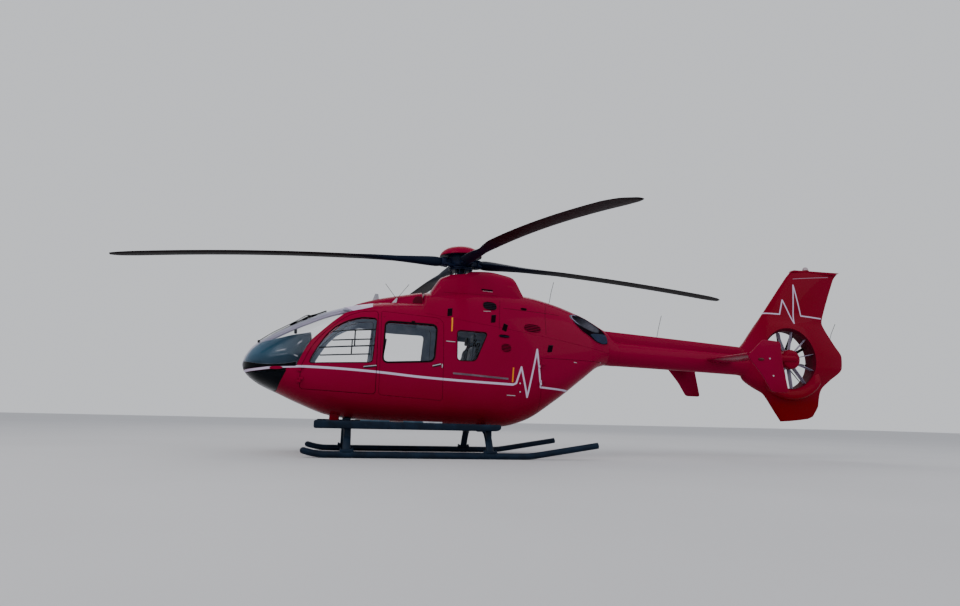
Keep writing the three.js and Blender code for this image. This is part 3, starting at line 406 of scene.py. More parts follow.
def closed(bm, caps=True):
    """Joins a rolled sheet along its seam, shuts its ends and turns its faces outwards."""
    bmesh.ops.remove_doubles(bm, verts=bm.verts, dist=TOUCHING)
    if caps:
        bmesh.ops.holes_fill(bm, edges=[e for e in bm.edges if e.is_boundary], sides=0)
    bmesh.ops.recalc_face_normals(bm, faces=bm.faces)
    return bm


def lofted(rows, sides, step):
    """A tube of rounded sections through a table."""
    sections = [row_at(rows, x) for x in stations(rows, step)]
    place = lambda i, j: section_point(sections[j], 2 * math.pi * i / sides)
    return closed(grid(sides, len(sections) - 1, place))


def domed(path, radius):
    """Adds round ends to the path of a tube, and gives its width along the way."""
    angles = [math.radians(a) for a in (30, 55, 75, 86)]
    path = [Vector(p) for p in path]
    start, end = (path[0] - path[1]).normalized(), (path[-1] - path[-2]).normalized()
    path = ([path[0] + start * radius * math.sin(a) for a in reversed(angles)] + path
            + [path[-1] + end * radius * math.sin(a) for a in angles])
    sizes = [math.cos(a) for a in reversed(angles)]
    sizes += [1.0] * (len(path) - 2 * len(angles)) + sizes[::-1]
    return path, lambda t: radius * sizes[round(t * (len(sizes) - 1))]


def swept(path, wide, high=None, sides=14, across=None, power=2.0):
    """A tube of oval section along points.

    wide and high are its half widths, as numbers or functions of the share of the way; wide is measured
    along across, or along a side carried from point to point.
    """
    path = [Vector(p) for p in path]
    high = wide if high is None else high
    size = lambda value, t: value(t) if callable(value) else value
    upright = abs((path[1] - path[0]).normalized().z) > 0.99
    frames, side = [], Vector((1, 0, 0) if upright else (0, 0, 1))
    for i, p in enumerate(path):
        along = (path[min(i + 1, len(path) - 1)] - path[max(i - 1, 0)]).normalized()
        side = Vector(across) if across else side
        side = (side - along * side.dot(along)).normalized()
        frames.append((p, side, along.cross(side).normalized()))

    def place(i, j):
        p, a, b = frames[j]
        t, turn = j / (len(path) - 1), 2 * math.pi * i / sides
        u, w = size(wide, t) * bend(math.cos(turn), power), size(high, t) * bend(math.sin(turn), power)
        return p + a * u + b * w

    return closed(grid(sides, len(path) - 1, place))


def lathe(profile, sides=48, axis="Z", centre=(0, 0, 0)):
    """A turned shape; profile is a list of (radius, height) along the axis."""
    bm = bmesh.new()
    verts = [bm.verts.new((r, 0, h)) for r, h in profile]
    edges = [bm.edges.new(pair) for pair in zip(verts, verts[1:])]
    bmesh.ops.spin(bm, geom=verts + edges, cent=(0, 0, 0), axis=(0, 0, 1), angle=2 * math.pi, steps=sides,
                   use_merge=True, use_duplicate=False)
    closed(bm, caps=False)
    turn = {"Z": Matrix.Identity(4), "Y": Matrix.Rotation(math.radians(-90), 4, "X"),
            "X": Matrix.Rotation(math.radians(90), 4, "Y")}[axis]
    bm.transform(Matrix.Translation(centre) @ turn)
    return bm


def around(middle, half):
    """The limits of a size that reaches as far on both sides of a place."""
    return middle - half, middle + half


def block(x, y, z, soft=0.006, segments=2):
    """A box between pairs of limits, with its edges rounded."""
    bm = bmesh.new()
    bmesh.ops.create_cube(bm, size=1.0)
    for v in bm.verts:
        v.co = Vector((x[v.co.x > 0], y[v.co.y > 0], z[v.co.z > 0]))
    return softened(bm, soft, segments)


def softened(bm, soft, segments=2, least=30):
    """Rounds every edge sharper than an angle."""
    sharp = [e for e in bm.edges if e.is_manifold and e.calc_face_angle(0) > math.radians(least)]
    bmesh.ops.bevel(bm, geom=sharp, offset=soft, segments=segments, profile=0.5, affect="EDGES", material=-1,
                    clamp_overlap=True)
    return bm


def slab(outline, y0, y1, soft=0.004, segments=2):
    """An outline in the side view carried across, with its edges rounded."""
    bm = bmesh.new()
    face = bm.faces.new([bm.verts.new((x, y0, z)) for x, z in outline])
    made = bmesh.ops.extrude_face_region(bm, geom=[face])["geom"]
    bmesh.ops.translate(bm, verts=[v for v in made if isinstance(v, bmesh.types.BMVert)], vec=(0, y1 - y0, 0))
    bmesh.ops.recalc_face_normals(bm, faces=bm.faces)
    return softened(bm, soft, segments)


def rod(start, end, radius, sides=8):
    """A straight round bar."""
    return swept([start, (Vector(start) + Vector(end)) / 2, end], radius, sides=sides)


def ball(centre, radii, sides):
    bm = bmesh.new()
    bmesh.ops.create_uvsphere(bm, u_segments=sides, v_segments=sides // 2, radius=1.0)
    bm.transform(Matrix.Translation(centre) @ Matrix.Diagonal((*radii, 1)))
    return bm


def moved(bm, matrix):
    bm.transform(matrix)
    return bm


def mirrored(bm):
    """The same shape on the other side."""
    other = bm.copy()
    other.transform(Matrix.Diagonal((1, -1, 1, 1)))
    bmesh.ops.reverse_faces(other, faces=other.faces)
    return other


def joined(*parts):
    """Several shapes as one; the ones after the first are used up."""
    for part in parts[1:]:
        scrap = mesh_of("scrap", part)
        parts[0].from_mesh(scrap)
        bpy.data.meshes.remove(scrap)
    return parts[0]


def painted(bm, index):
    for face in bm.faces:
        face.material_index = index
    return bm


def skin_normals(bm):
    """Steady normals for a skin: weighed by area, and shared between corners that nearly touch."""
    bm.normal_update()
    weighed = {v: sum((f.normal * f.calc_area() for f in v.link_faces), Vector()) for v in bm.verts}
    steady = {}
    for v in bm.verts:
        near = [e.other_vert(v) for e in v.link_edges if e.calc_length() < 0.012]
        n = sum((weighed[other] for other in near), weighed[v].copy())
        if abs(v.co.y) < 1e-5:
            n.y = 0
        steady[v] = n.normalized()
    return steady


def along_normals(bm, distance):
    """Moves a skin outwards along its own normals, staying on the middle plane where it meets it."""
    for v, n in skin_normals(bm).items():
        v.co += n * distance
    return bm


def thickened(bm, thickness, inner=None):
    """Gives a skin a wall, inwards; the inner faces may take another material."""
    normals = skin_normals(bm)
    old = bm.faces[:]
    bmesh.ops.extrude_face_region(bm, geom=old, use_keep_orig=True)
    for v, n in normals.items():
        v.co -= n * thickness
    bmesh.ops.reverse_faces(bm, faces=old)
    if inner is not None:
        for face in old:
            face.material_index = inner
    return bm


def overlaps(face, limits):
    x0, x1, z0, z1 = limits
    xs, zs = [v.co.x for v in face.verts], [v.co.z for v in face.verts]
    return max(xs) >= x0 and min(xs) <= x1 and max(zs) >= z0 and min(zs) <= z1


def limits_of(points, margin):
    xs, zs = [p[0] for p in points], [p[1] for p in points]
    return min(xs) - margin, max(xs) + margin, min(zs) - margin, max(zs) + margin


def bisected(bm, faces, co, no):
    """Splits some faces along a plane and returns what was made; each part is handed over once."""
    geom = list(dict.fromkeys(e for f in faces for e in (f, *f.edges, *f.verts)))
    cut = bmesh.ops.bisect_plane(bm, geom=geom, dist=1e-6, plane_co=co, plane_no=no)
    return [f for f in cut["geom"] if isinstance(f, bmesh.types.BMFace)]


def scored(bm, outline, shut=True):
    """Cuts the faces along an outline in the side view, so that none crosses it."""
    near = [f for f in bm.faces if overlaps(f, limits_of(outline, 0.01))]
    ends = outline[1:] + outline[:1] if shut else outline[1:]
    for a, b in zip(outline, ends):
        if math.hypot(b[0] - a[0], b[1] - a[1]) < 1e-5:
            continue
        limits = limits_of((a, b), 0.003)
        picked = [f for f in near if overlaps(f, limits)]
        near += bisected(bm, picked, (a[0], 0, a[1]), (b[1] - a[1], 0, a[0] - b[0]))
        near = [f for f in dict.fromkeys(near) if f.is_valid]
    return bm


def keeping(bm, keep):
    """Leaves only the faces whose middle the rule keeps."""
    drop = [f for f in bm.faces if not keep(f.calc_center_median())]
    bmesh.ops.delete(bm, geom=drop, context="FACES")
    return bm


def side_patch(outline, lift, thick, cell=0.02, rows=BODY, bore=None):
    """A plate of any outline that follows the port side of a body, proud of it by lift."""
    x0, x1, z0, z1 = limits_of(outline, 0.004)
    nx, nz = max(2, math.ceil((x1 - x0) / cell)), max(2, math.ceil((z1 - z0) / cell))
    bm = grid(nx, nz, lambda i, j: side_point(x0 + (x1 - x0) * i / nx, z0 + (z1 - z0) * j / nz, rows))
    scored(bm, outline)
    keeping(bm, lambda c: within(outline, c.x, c.z))
    bm.normal_update()
    if sum(f.normal.y for f in bm.faces) > 0:
        bmesh.ops.reverse_faces(bm, faces=bm.faces)
    along_normals(bm, lift)
    if bore:
        bored(bm, *bore)
    return thickened(bm, thick)


def side_frame(x, z):
    """A matrix that stands a shape built round the origin, +Z outwards and +X aft, on the port side."""
    n = side_normal(x, z)
    u = (Vector((1, 0, 0)) - n * n.x).normalized()
    return Matrix.Translation(side_point(x, z)) @ Matrix((u, n.cross(u), n)).transposed().to_4x4()


def over_skin(points, lift=0.0, step=0.03, rows=BODY):
    """A path over the port side through places in the side view, proud of it by lift."""
    return [side_point(p.x, p.z, rows) + side_normal(p.x, p.z, rows) * lift
            for p in smooth_path([(x, 0, z) for x, z in points], step)]


def strip(points, tall, proud, lift=0.0, rows=BODY, sides=8):
    """A bar of oval section laid along the port side; tall is measured up it, proud away from it."""
    return swept(over_skin(points, lift, rows=rows), tall / 2, proud, sides, (0, 0, 1))


def stud(x, z, radius, proud):
    """A domed round head on the port side."""
    dome = lathe([(0, -0.002), (radius, -0.002), (radius, proud * 0.4), (radius * 0.8, proud * 0.8),
                  (0, proud)], 20)
    return moved(dome, side_frame(x, z))


def mesh_of(name, bm):
    """A shape as a mesh; the shape is used up."""
    mesh = bpy.data.meshes.new(name)
    bm.to_mesh(mesh)
    bm.free()
    return mesh


def placed(name, data):
    """A new object of the scene."""
    obj = bpy.data.objects.new(name, data)
    bpy.context.scene.collection.objects.link(obj)
    return obj


def piece(name, bm, finishes, body="airframe", slot=None, stands_for=(), crease=32):
    """Makes a shape in mast coordinates into a finished piece of the model."""
    finishes = (finishes,) if isinstance(finishes, str) else finishes
    slot = slot or SLOT_OF.get(finishes[0], "red_paint")
    bm.transform(HOME)
    for face in bm.faces:
        face.smooth = True
    for edge in bm.edges:
        edge.smooth = not (edge.is_manifold and edge.calc_face_angle(0) > math.radians(crease))
    obj = placed(name, mesh_of(name, bm))
    for finish_name in finishes:
        obj.data.materials.append(material(finish_name))
    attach(obj, body)
    if stands_for:
        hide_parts(*stands_for)
    return obj


# Shader sums written as plain expressions


class Wire:
    """A socket of numbers that Python's own operators work on."""

    def __init__(self, finish, socket):
        self.finish, self.socket = finish, socket

    def sum(self, operation, *values):
        made = self.finish.node("ShaderNodeMath", {"operation": operation}, *values)
        return Wire(self.finish, made.outputs[0])

    __add__ = __radd__ = lambda a, b: a.sum("ADD", a, b)
    __sub__ = lambda a, b: a.sum("SUBTRACT", a, b)
    __rsub__ = lambda a, b: a.sum("SUBTRACT", b, a)
    __mul__ = __rmul__ = lambda a, b: a.sum("MULTIPLY", a, b)
    __pow__ = lambda a, b: a.sum("POWER", a, b)
    __abs__ = lambda a: a.sum("ABSOLUTE", a)
    least = lambda a, b: a.sum("MINIMUM", a, b)
    most = lambda a, b: a.sum("MAXIMUM", a, b)

    def ramp(self, low, high):
        """0 at low, 1 at high and beyond, straight between them."""
        made = self.finish.node("ShaderNodeMapRange", {"clamp": True}, self, low, high, 0.0, 1.0)
        return Wire(self.finish, made.outputs[0])


class Finish:
    """One material, made node by node from the object's own coordinates."""

    def __init__(self, name, **fixed):
        self.material = bpy.data.materials.new(name)
        self.material.use_nodes = True
        self.tree = self.material.node_tree
        self.tree.nodes.clear()
        self.shader = self.node("ShaderNodeBsdfPrincipled", {})
        self.output = self.node("ShaderNodeOutputMaterial", {}, self.shader.outputs[0])
        self.fix(**fixed)
        self.place = self.node("ShaderNodeTexCoord", {}).outputs["Object"]
        axes = self.node("ShaderNodeSeparateXYZ", {}, self.place).outputs
        self.x, self.y, self.z = (Wire(self, s) for s in axes)
        self.x = self.x - MAST.x

    def node(self, kind, settings, *values, **named):
        """Adds a node: its settings first, then the values or links of its sockets."""
        made = self.tree.nodes.new(kind)
        for key, value in settings.items():
            setattr(made, key, value)
        for key, value in enumerate(values):
            self.plug(made.inputs[key], value)
        for key, value in named.items():
            self.plug(made.inputs[key], value)
        return made

    def plug(self, socket, value):
        """Links a socket to another, or gives it a plain value."""
        value = value.socket if isinstance(value, Wire) else value
        if isinstance(value, bpy.types.NodeSocket):
            self.tree.links.new(value, socket)
        else:
            socket.default_value = value

    def fix(self, **sockets):
        """Sets inputs of the shader, with _ for each space in their names."""
        for name, value in sockets.items():
            self.plug(self.shader.inputs[name.replace("_", " ")], value)

    def noise(self, scale, detail=3.0, rough=0.5):
        made = self.node("ShaderNodeTexNoise", {}, Vector=self.place, Scale=scale, Detail=detail,
                         Roughness=rough)
        return Wire(self, made.outputs[0])

    def cells(self, scale):
        made = self.node("ShaderNodeTexVoronoi", {"feature": "F1"}, Vector=self.place, Scale=scale)
        return Wire(self, made.outputs["Distance"])

    def blend(self, factor, a, b):
        """A colour between two others; each is a socket or a plain colour."""
        made = self.node("ShaderNodeMix", {"data_type": "RGBA"})
        for key, value in ((0, factor), (6, a), (7, b)):
            self.plug(made.inputs[key], value)
        return made.outputs[2]

    def line(self, points, low, high):
        """The height of a smooth line through places in the side view; low and high hold all of it."""
        start, end = points[0][0], points[-1][0]
        made = self.node("ShaderNodeFloatCurve", {}, 1.0, (self.x - start) * (1 / (end - start)))
        points = [((x - start) / (end - start), (z - low) / (high - low)) for x, z in points]
        curve = made.mapping.curves[0].points
        curve[0].location, curve[1].location = points[0], points[-1]
        for point in points[1:-1]:
            curve.new(*point)
        made.mapping.update()
        return Wire(self, made.outputs[0]) * (high - low) + low

    def bump(self, height, strength, distance=0.001):
        made = self.node("ShaderNodeBump", {}, Strength=strength, Distance=distance, Height=height)
        self.fix(Normal=made.outputs[0])

    def stroke(self, a, b, half):
        """1 on a straight stroke between two places in the side view, 0 away from it."""
        soft = 0.003
        ax, az = a
        dx, dz = b[0] - ax, b[1] - az
        along = ((self.x - ax) * dx + (self.z - az) * dz) * (1 / (dx * dx + dz * dz))
        along = along.most(0.0).least(1.0)
        ex, ez = self.x - ax - along * dx, self.z - az - along * dz
        return self.x.sum("SQRT", ex * ex + ez * ez).ramp(half + soft, half - soft)

    def strokes(self, points, half):
        """The strokes that join several places in turn."""
        return functools.reduce(Wire.most, [self.stroke(a, b, half) for a, b in zip(points, points[1:])])


def srgb(red, green, blue, alpha=1.0):
    """A colour given as 0 to 255 on screen, as the linear values that a shader takes."""
    turn = lambda v: v / 12.92 if v <= 0.04045 else ((v + 0.055) / 1.055) ** 2.4
    return (*(turn(v / 255) for v in (red, green, blue)), alpha)


# Finishes

# Satin surfaces: the dark and the light tone on screen, roughness, grain, and what isn't as usual
SATINS = {
    "rotor_composite": ((14, 9, 10), (32, 20, 20), 0.5, 90.0, {"wear": (52, 40, 40), "gloss": 0.1}),
    "hub_composite": ((7, 12, 30), (19, 33, 62), 0.44, 70.0, {"wear": (50, 64, 92), "gloss": 0.12}),
    "gear_coat": ((6, 16, 30), (16, 36, 56), 0.46, 80.0, {"wear": (40, 54, 70), "gloss": 0.12}),
    "black_rubber": ((3, 4, 6), (12, 13, 17), 0.7, 140.0, {"gloss": 0.05}),
    "black_moulding": ((12, 14, 18), (30, 33, 38), 0.6, 220.0, {"bump": 0.3, "gloss": 0.1}),
    "bare_metal": ((120, 122, 126), (186, 188, 192), 0.36, 120.0, {"metallic": 1.0}),
    "scorched_metal": ((52, 52, 62), (98, 98, 112), 0.45, 60.0, {"metallic": 0.3}),
    "shield_metal": ((10, 22, 44), (24, 42, 74), 0.42, 40.0, {"gloss": 0.1}),
    # deep_opening is painted shade: the dark inside vents, slots, recesses and behind the flaps
    "deep_opening": ((12, 4, 10), (26, 9, 20), 0.85, 120.0, {"gloss": 0.02}),
    # shaded_red is painted shade, for the fan duct's inner wall and the fairing's intake
    "shaded_red": ((62, 1, 20), (84, 2, 28), 0.6, 90.0, {"bump": 0.05, "gloss": 0.05}),
    "slat_paint": ((22, 22, 32), (40, 38, 50), 0.5, 90.0, {"gloss": 0.1}),
    # The steps' grip finish is lighter as a painted reflection of the sky
    "grip_mat": ((44, 66, 84), (84, 104, 120), 0.7, 200.0, {"bump": 0.3, "gloss": 0.1}),
    "pale_trim": ((150, 153, 162), (196, 198, 206), 0.4, 90.0, {"bump": 0.05}),
    "rail_metal": ((92, 78, 92), (128, 112, 126), 0.42, 90.0, {"bump": 0.05}),
    "stator_paint": ((112, 104, 126), (152, 142, 162), 0.4, 90.0, {"bump": 0.05}),
    "pale_lens": ((120, 96, 104), (176, 160, 168), 0.12, 40.0, {"bump": 0.05}),
    "green_lens": ((4, 52, 28), (8, 78, 42), 0.15, 40.0, {"bump": 0.05}),
    "amber_mark": ((206, 120, 10), (232, 150, 24), 0.4, 90.0, {"bump": 0.05}),
    "cabin_lining": ((150, 166, 190), (190, 202, 216), 0.72, 260.0, {"bump": 0.25}),
    "red_lens": ((44, 4, 10), (84, 10, 18), 0.15, 40.0, {"bump": 0.05}),
}
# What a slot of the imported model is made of; every other finish is red_paint
SLOTS = {
    "tinted_glass": ("clear_glass", "dark_glass"),
    "black_plastic": ("black_rubber", "black_moulding", "deep_opening", "slat_paint", "cabin_lining",
                      "cabin_floor", "hood_moulding", "screen_glass"),
    "machine_metal": ("bare_metal", "pale_trim", "rail_metal", "stator_paint", "rotor_composite"),
    "hot_metal": ("scorched_metal", "lip_metal", "shield_metal"),
    "gear_paint": ("gear_coat", "grip_mat"),
    "dark_hub": ("hub_composite",),
    "rotor_blade": ("blade_paint",),
    "seat_cloth": ("seat_cloth",),
}
SLOT_OF = {name: slot for slot, names in SLOTS.items() for name in names}
MAKERS, MADE = {}, {}


def finish(maker):
    """Files the maker of a material under its own name."""
    MAKERS[maker.__name__] = maker
    return maker


def material(name):
    """The material of a name, made once and shared."""
    if name not in MADE:
        MADE[name] = MAKERS[name]() if name in MAKERS else satin(name, *SATINS[name])
    return MADE[name]


def lacquer(name, color, deep):
    """Glossy paint: a slow change of tone, darker low down from road film and painted shade, darker towards
    the tail as painted shade, faint orange peel and a clear coat.
    """
    paint = Finish(name, Coat_Weight=0.12, Coat_Roughness=0.04, Coat_IOR=1.3, IOR=1.4,
                   Specular_IOR_Level=0.02)
    cloud = paint.noise(1.3, 2.0)
    # Darker low down, from road film and painted shade, and darker towards the tail, painted shade
    low = paint.z.ramp(1.25, 0.45)
    tail = paint.x.ramp(4.6, 5.4)
    tone = paint.blend((cloud - 0.5) * 0.5 + low * 0.85 + tail * 0.6, color, deep)
    dust = paint.noise(38.0, 4.0, 0.65).ramp(0.56, 0.78) * 0.08
    tone = paint.blend(dust * 0.5, tone, srgb(96, 60, 60))
    return paint, tone


@finish
def red_lacquer():
    settings = bpy.context.scene.heli_paint
    paint, tone = lacquer("red_lacquer", (*settings.red, 1), (*settings.deep_red, 1))
    side = abs(paint.y).ramp(0.02, 0.03)
    x = paint.x
    over = paint.z - paint.line(STRIPE_LINE, 1.0, 1.3)
    half = settings.stripe / 2
    run = x.ramp(0.705, 0.695) * x.ramp(-3.235, -3.225)
    stripe = abs(over).ramp(half + 0.002, half - 0.002) * run
    white = stripe.most(paint.strokes(BODY_PULSE, 0.0132)).most(paint.strokes(FIN_PULSE, 0.011))
    # The pale line along the fin's cap is a painted highlight
    white = white.most(paint.strokes(FIN_CAP_HIGHLIGHT, 0.003) * 0.7)
    brow = x.ramp(-2.44, -2.45) * over.ramp(half, half + 0.004) * paint.z.ramp(1.31, 1.30) * side
    chin = (x - paint.z * 0.482).ramp(-3.168, -3.178) * over.ramp(-half, -half - 0.004)
    chin = chin * paint.z.ramp(0.88, 0.89)
    tone = paint.blend(brow.most(chin), tone, srgb(4, 6, 10))
    tone = paint.blend(white, tone, (*settings.white, 1))
    paint.fix(Base_Color=tone, Roughness=paint.noise(9.0, 4.0).ramp(0.3, 0.8) * 0.16 + 0.20)
    paint.bump(paint.noise(160.0, 2.0) + paint.noise(2.2, 1.0) * 6.0, 0.06, 0.0012)
    return paint.material


def plain_lacquer(name, color, deep, swing, rough):
    """Lacquer without stripes or black paint, its roughness uneven by swing."""
    paint, tone = lacquer(name, color, deep)
    paint.fix(Base_Color=tone, Roughness=paint.noise(9.0, 4.0) * swing + rough)
    paint.bump(paint.noise(160.0, 2.0), 0.05, 0.001)
    return paint.material


@finish
def plain_red():
    settings = bpy.context.scene.heli_paint
    return plain_lacquer("plain_red", (*settings.red, 1), (*settings.deep_red, 1), 0.12, 0.24)


@finish
def white_lacquer():
    color = (*bpy.context.scene.heli_paint.white, 1)
    return plain_lacquer("white_lacquer", color, srgb(150, 152, 170), 0.15, 0.18)


@finish
def clear_glass():
    """Clear acrylic as a mirror film that grows towards the edges, painted black along the nose."""
    settings = bpy.context.scene.heli_glass
    glass = Finish("clear_glass", Roughness=0.03, Specular_IOR_Level=0.04)
    film = glass.noise(3.0, 4.0).ramp(0.45, 0.8)
    tone = glass.blend(film * 0.5, (*settings.tint, 1), srgb(178, 190, 206))
    paint = glass.x.ramp(-2.455, -2.46) * (glass.z - glass.line(FRIT_LINE, 1.0, 1.5)).ramp(0.002, -0.002)
    tone = glass.blend(paint, tone, srgb(4, 6, 10))
    edge = Wire(glass, glass.node("ShaderNodeLayerWeight", {}, 0.5).outputs["Facing"]) ** 5.0
    glass.fix(
        Base_Color=tone, Metallic=1.0 - paint, Roughness=paint * 0.2 + 0.03,
        Alpha=(edge * 0.8 + settings.density).most(paint).least(1.0),
    )
    return glass.material


@finish
def dark_glass():
    glass = Finish("dark_glass", Roughness=0.08, IOR=1.4, Specular_IOR_Level=0.08)
    tone = glass.blend(glass.noise(4.0, 3.0), srgb(3, 5, 9), srgb(8, 13, 20))
    glass.fix(Base_Color=tone, Alpha=(glass.noise(2.0) * 0.1 + 0.86).least(1.0))
    return glass.material


def satin(name, dark, light, rough, grain, more):
    """A satin surface: mottled tone, uneven gloss, fine grain and, where worn, pale rubbed spots."""
    coat = Finish(name, Metallic=more.get("metallic", 0.0), Specular_IOR_Level=more.get("gloss", 0.2))
    tone = coat.blend(coat.noise(6.0, 4.0, 0.6).ramp(0.3, 0.75), srgb(*dark), srgb(*light))
    if "wear" in more:
        rub = coat.noise(14.0, 6.0, 0.7).ramp(0.60, 0.74)
        tone = coat.blend(rub * 0.5, tone, srgb(*more["wear"]))
    coat.fix(Base_Color=tone, Roughness=coat.noise(18.0, 5.0, 0.6) * 0.3 + (rough - 0.15))
    coat.bump(coat.noise(grain, 4.0, 0.6), more.get("bump", 0.15), 0.002)
    return coat.material


@finish
def lip_metal():
    """The exhaust's lip: pale at the front, a painted highlight, and dark with soot behind."""
    coat = Finish("lip_metal", Metallic=0.3, Specular_IOR_Level=0.2)
    # 0 at the front, where the pale tone is a painted highlight, 1 behind, where soot darkens the lip
    highlight_to_soot = (coat.x + coat.noise(9.0, 4.0) * 0.06).ramp(1.86, 1.93)
    coat.fix(Base_Color=coat.blend(highlight_to_soot, srgb(132, 134, 164), srgb(42, 44, 56)),
             Roughness=coat.noise(18.0) * 0.2 + 0.35)
    coat.bump(coat.noise(60.0, 4.0), 0.15, 0.002)
    return coat.material


@finish
def blade_paint():
    """Blades: blue-black root cuffs, brown-black skins and pale rubbed streaks."""
    coat = Finish("blade_paint", Specular_IOR_Level=0.06)
    away = coat.x.sum("SQRT", coat.x * coat.x + coat.y * coat.y)
    skin = coat.blend(coat.noise(6.0, 4.0, 0.6).ramp(0.3, 0.75), srgb(12, 6, 8), srgb(25, 13, 16))
    tone = coat.blend(away.ramp(2.0, 1.2), skin, srgb(10, 20, 38))
    streak = coat.noise(14.0, 6.0, 0.7).ramp(0.62, 0.76)
    coat.fix(Base_Color=coat.blend(streak * 0.25, tone, srgb(54, 46, 52)),
             Roughness=coat.noise(18.0, 5.0, 0.6) * 0.25 + 0.36)
    coat.bump(coat.noise(90.0, 4.0, 0.6), 0.12, 0.001)
    return coat.material


@finish
def cabin_floor():
    floor = Finish("cabin_floor", IOR=1.45)
    dots = floor.cells(34.0).ramp(0.35, 0.25)
    tone = floor.blend(floor.noise(5.0, 4.0), srgb(44, 48, 54), srgb(70, 74, 80))
    floor.fix(Base_Color=tone, Roughness=0.55 - dots * 0.15)
    floor.bump(dots, 0.5, 0.002)
    return floor.material


@finish
def seat_cloth():
    cloth = Finish("seat_cloth", Sheen_Weight=0.4, Sheen_Roughness=0.5)
    waves = [cloth.node("ShaderNodeTexWave", {"bands_direction": axis}, Vector=cloth.place, Scale=160.0,
                        Distortion=0.4).outputs["Fac"] for axis in "ZY"]
    weave = Wire(cloth, waves[0]).most(waves[1])
    tone = cloth.blend(weave * 0.6 + cloth.noise(4.0, 4.0) * 0.4, srgb(24, 28, 38), srgb(64, 72, 88))
    cloth.fix(Base_Color=tone, Roughness=0.85 - weave * 0.12)
    cloth.bump(weave, 0.4, 0.001)
    return cloth.material


@finish
def hood_moulding():
    """The hood over the instruments: blue-grey, lighter towards the nose and the top, a painted reflection of
    the sky.
    """
    coat = Finish("hood_moulding", Specular_IOR_Level=0.08)
    # Lighter towards the nose and the top: painted reflection of the sky
    sky_reflection = coat.x.ramp(-2.42, -3.12) * coat.z.ramp(1.22, 1.44)
    sky_reflection = sky_reflection * 0.8 + coat.noise(5.0, 3.0) * 0.2 - 0.06
    coat.fix(Base_Color=coat.blend(sky_reflection, srgb(8, 26, 40), srgb(48, 86, 110)),
             Roughness=coat.noise(18.0, 5.0) * 0.2 + 0.6)
    coat.bump(coat.noise(240.0, 4.0), 0.3, 0.001)
    return coat.material


@finish
def screen_glass():
    screen = Finish("screen_glass", Roughness=0.08, Coat_Weight=0.5)
    tone = screen.blend(screen.noise(12.0, 2.0), srgb(6, 9, 14), srgb(16, 26, 36))
    screen.fix(Base_Color=tone)
    return screen.material


@finish
def floor_paint():
    ground = Finish("floor_paint", Specular_IOR_Level=0.2)
    tone = ground.blend(ground.noise(0.35, 3.0), srgb(190, 190, 193), srgb(200, 200, 203))
    ground.fix(Base_Color=tone, Roughness=ground.noise(3.0) * 0.1 + 0.75)
    return ground.material


# What a user would change


def tone_choice(name, description, *screen):
    """A colour that a user may change, from its values on screen."""
    return bpy.props.FloatVectorProperty(name=name, description=description, subtype="COLOR", size=3,
                                         default=srgb(*screen)[:3], min=0, max=1)


class HELI_PG_paint(bpy.types.PropertyGroup):
    red: tone_choice("Red", "Lacquer of the body", 128, 1, 46)
    deep_red: tone_choice("Deep red", "Lacquer low on the body, where film and shade darken it", 108, 0, 10)
    white: tone_choice("White", "Stripes, centre post and brow", 194, 182, 208)
    stripe: bpy.props.FloatProperty(
        name="Stripe", description="Height of the long white stripe", default=0.033, min=0.01, max=0.2,
        unit="LENGTH",
    )


class HELI_PG_glass(bpy.types.PropertyGroup):
    tint: tone_choice("Tint", "Colour of the panes", 196, 206, 222)
    density: bpy.props.FloatProperty(
        name="Density", description="How much of the tint shows on a pane seen square on",
        default=0.015, min=0, max=1, subtype="FACTOR",
    )


class HELI_PG_stage(bpy.types.PropertyGroup):
    floor: bpy.props.FloatProperty(name="Floor", description="Side of the square floor",
                                   default=120.0, min=20, unit="LENGTH")
    key: bpy.props.FloatProperty(name="Key light", description="Power of the large soft light", default=900.0,
                                 min=0, unit="POWER")


# The port skin, scored once with every outline that any panel needs

PORT = {}


def port_skin():
    """The port half of the fuselage skin, cut along every panel line."""
    if "skin" in PORT:
        return PORT["skin"].copy()
    sections = [row_at(BODY, x) for x in stations(BODY, 0.045)]
    sides = 52

    def place(i, j):
        p = section_point(sections[j], math.pi * (0.5 + i / sides))
        if i in (0, sides):
            p.y = 0.0
        return p

    bm = grid(sides, len(sections) - 1, place)
    bmesh.ops.remove_doubles(bm, verts=bm.verts, dist=1e-6)
    deck = [(DECK_FRONT, deck_z(DECK_FRONT)), (DECK_BACK, deck_z(DECK_BACK))]
    lines = []
    for line, gap in ((WINDSHIELD, PANE_GAP), (CHIN_WINDOW, PANE_GAP), (DOOR_LINE, DOOR_GAP),
                      (SLIDE_LINE, PANEL_GAP), (CARGO_DOOR, -PANEL_GAP)):
        lines += [line, inset(line, gap)]
    for name, line in WINDOW_LINES.items():
        lines += [line, *(inset(line, side) for side in SEALS[name])]
    for line in lines:
        scored(bm, line)
    for shift in (-SEAM, SEAM):
        scored(bm, [(x, z + shift) for x, z in deck], shut=False)
        bisected(bm, [f for f in bm.faces if abs(f.calc_center_median().x - DECK_FRONT) < 0.06],
                 (DECK_FRONT + shift, 0, 0), (1, 0, 0))
    nose = [f for f in bm.faces if f.calc_center_median().x < -1.6]
    for y in (-CENTRE_POST, -CENTRE_POST - POST_GAP):
        nose += bisected(bm, [f for f in nose if f.is_valid], (0, y, 0), (0, 1, 0))
    PORT["skin"] = bm
    return bm.copy()


def panel(keep, depth=0.0):
    """The part of the port skin that a rule keeps, moved inwards by depth."""
    bm = port_skin()
    drop = [f for f in bm.faces if not keep(f.calc_center_median())]
    along_normals(bm, -depth)
    bmesh.ops.delete(bm, geom=drop, context="FACES")
    return bm


def in_cowling(c):
    return c.x > DECK_FRONT + 0.001 and c.z > deck_z(c.x)


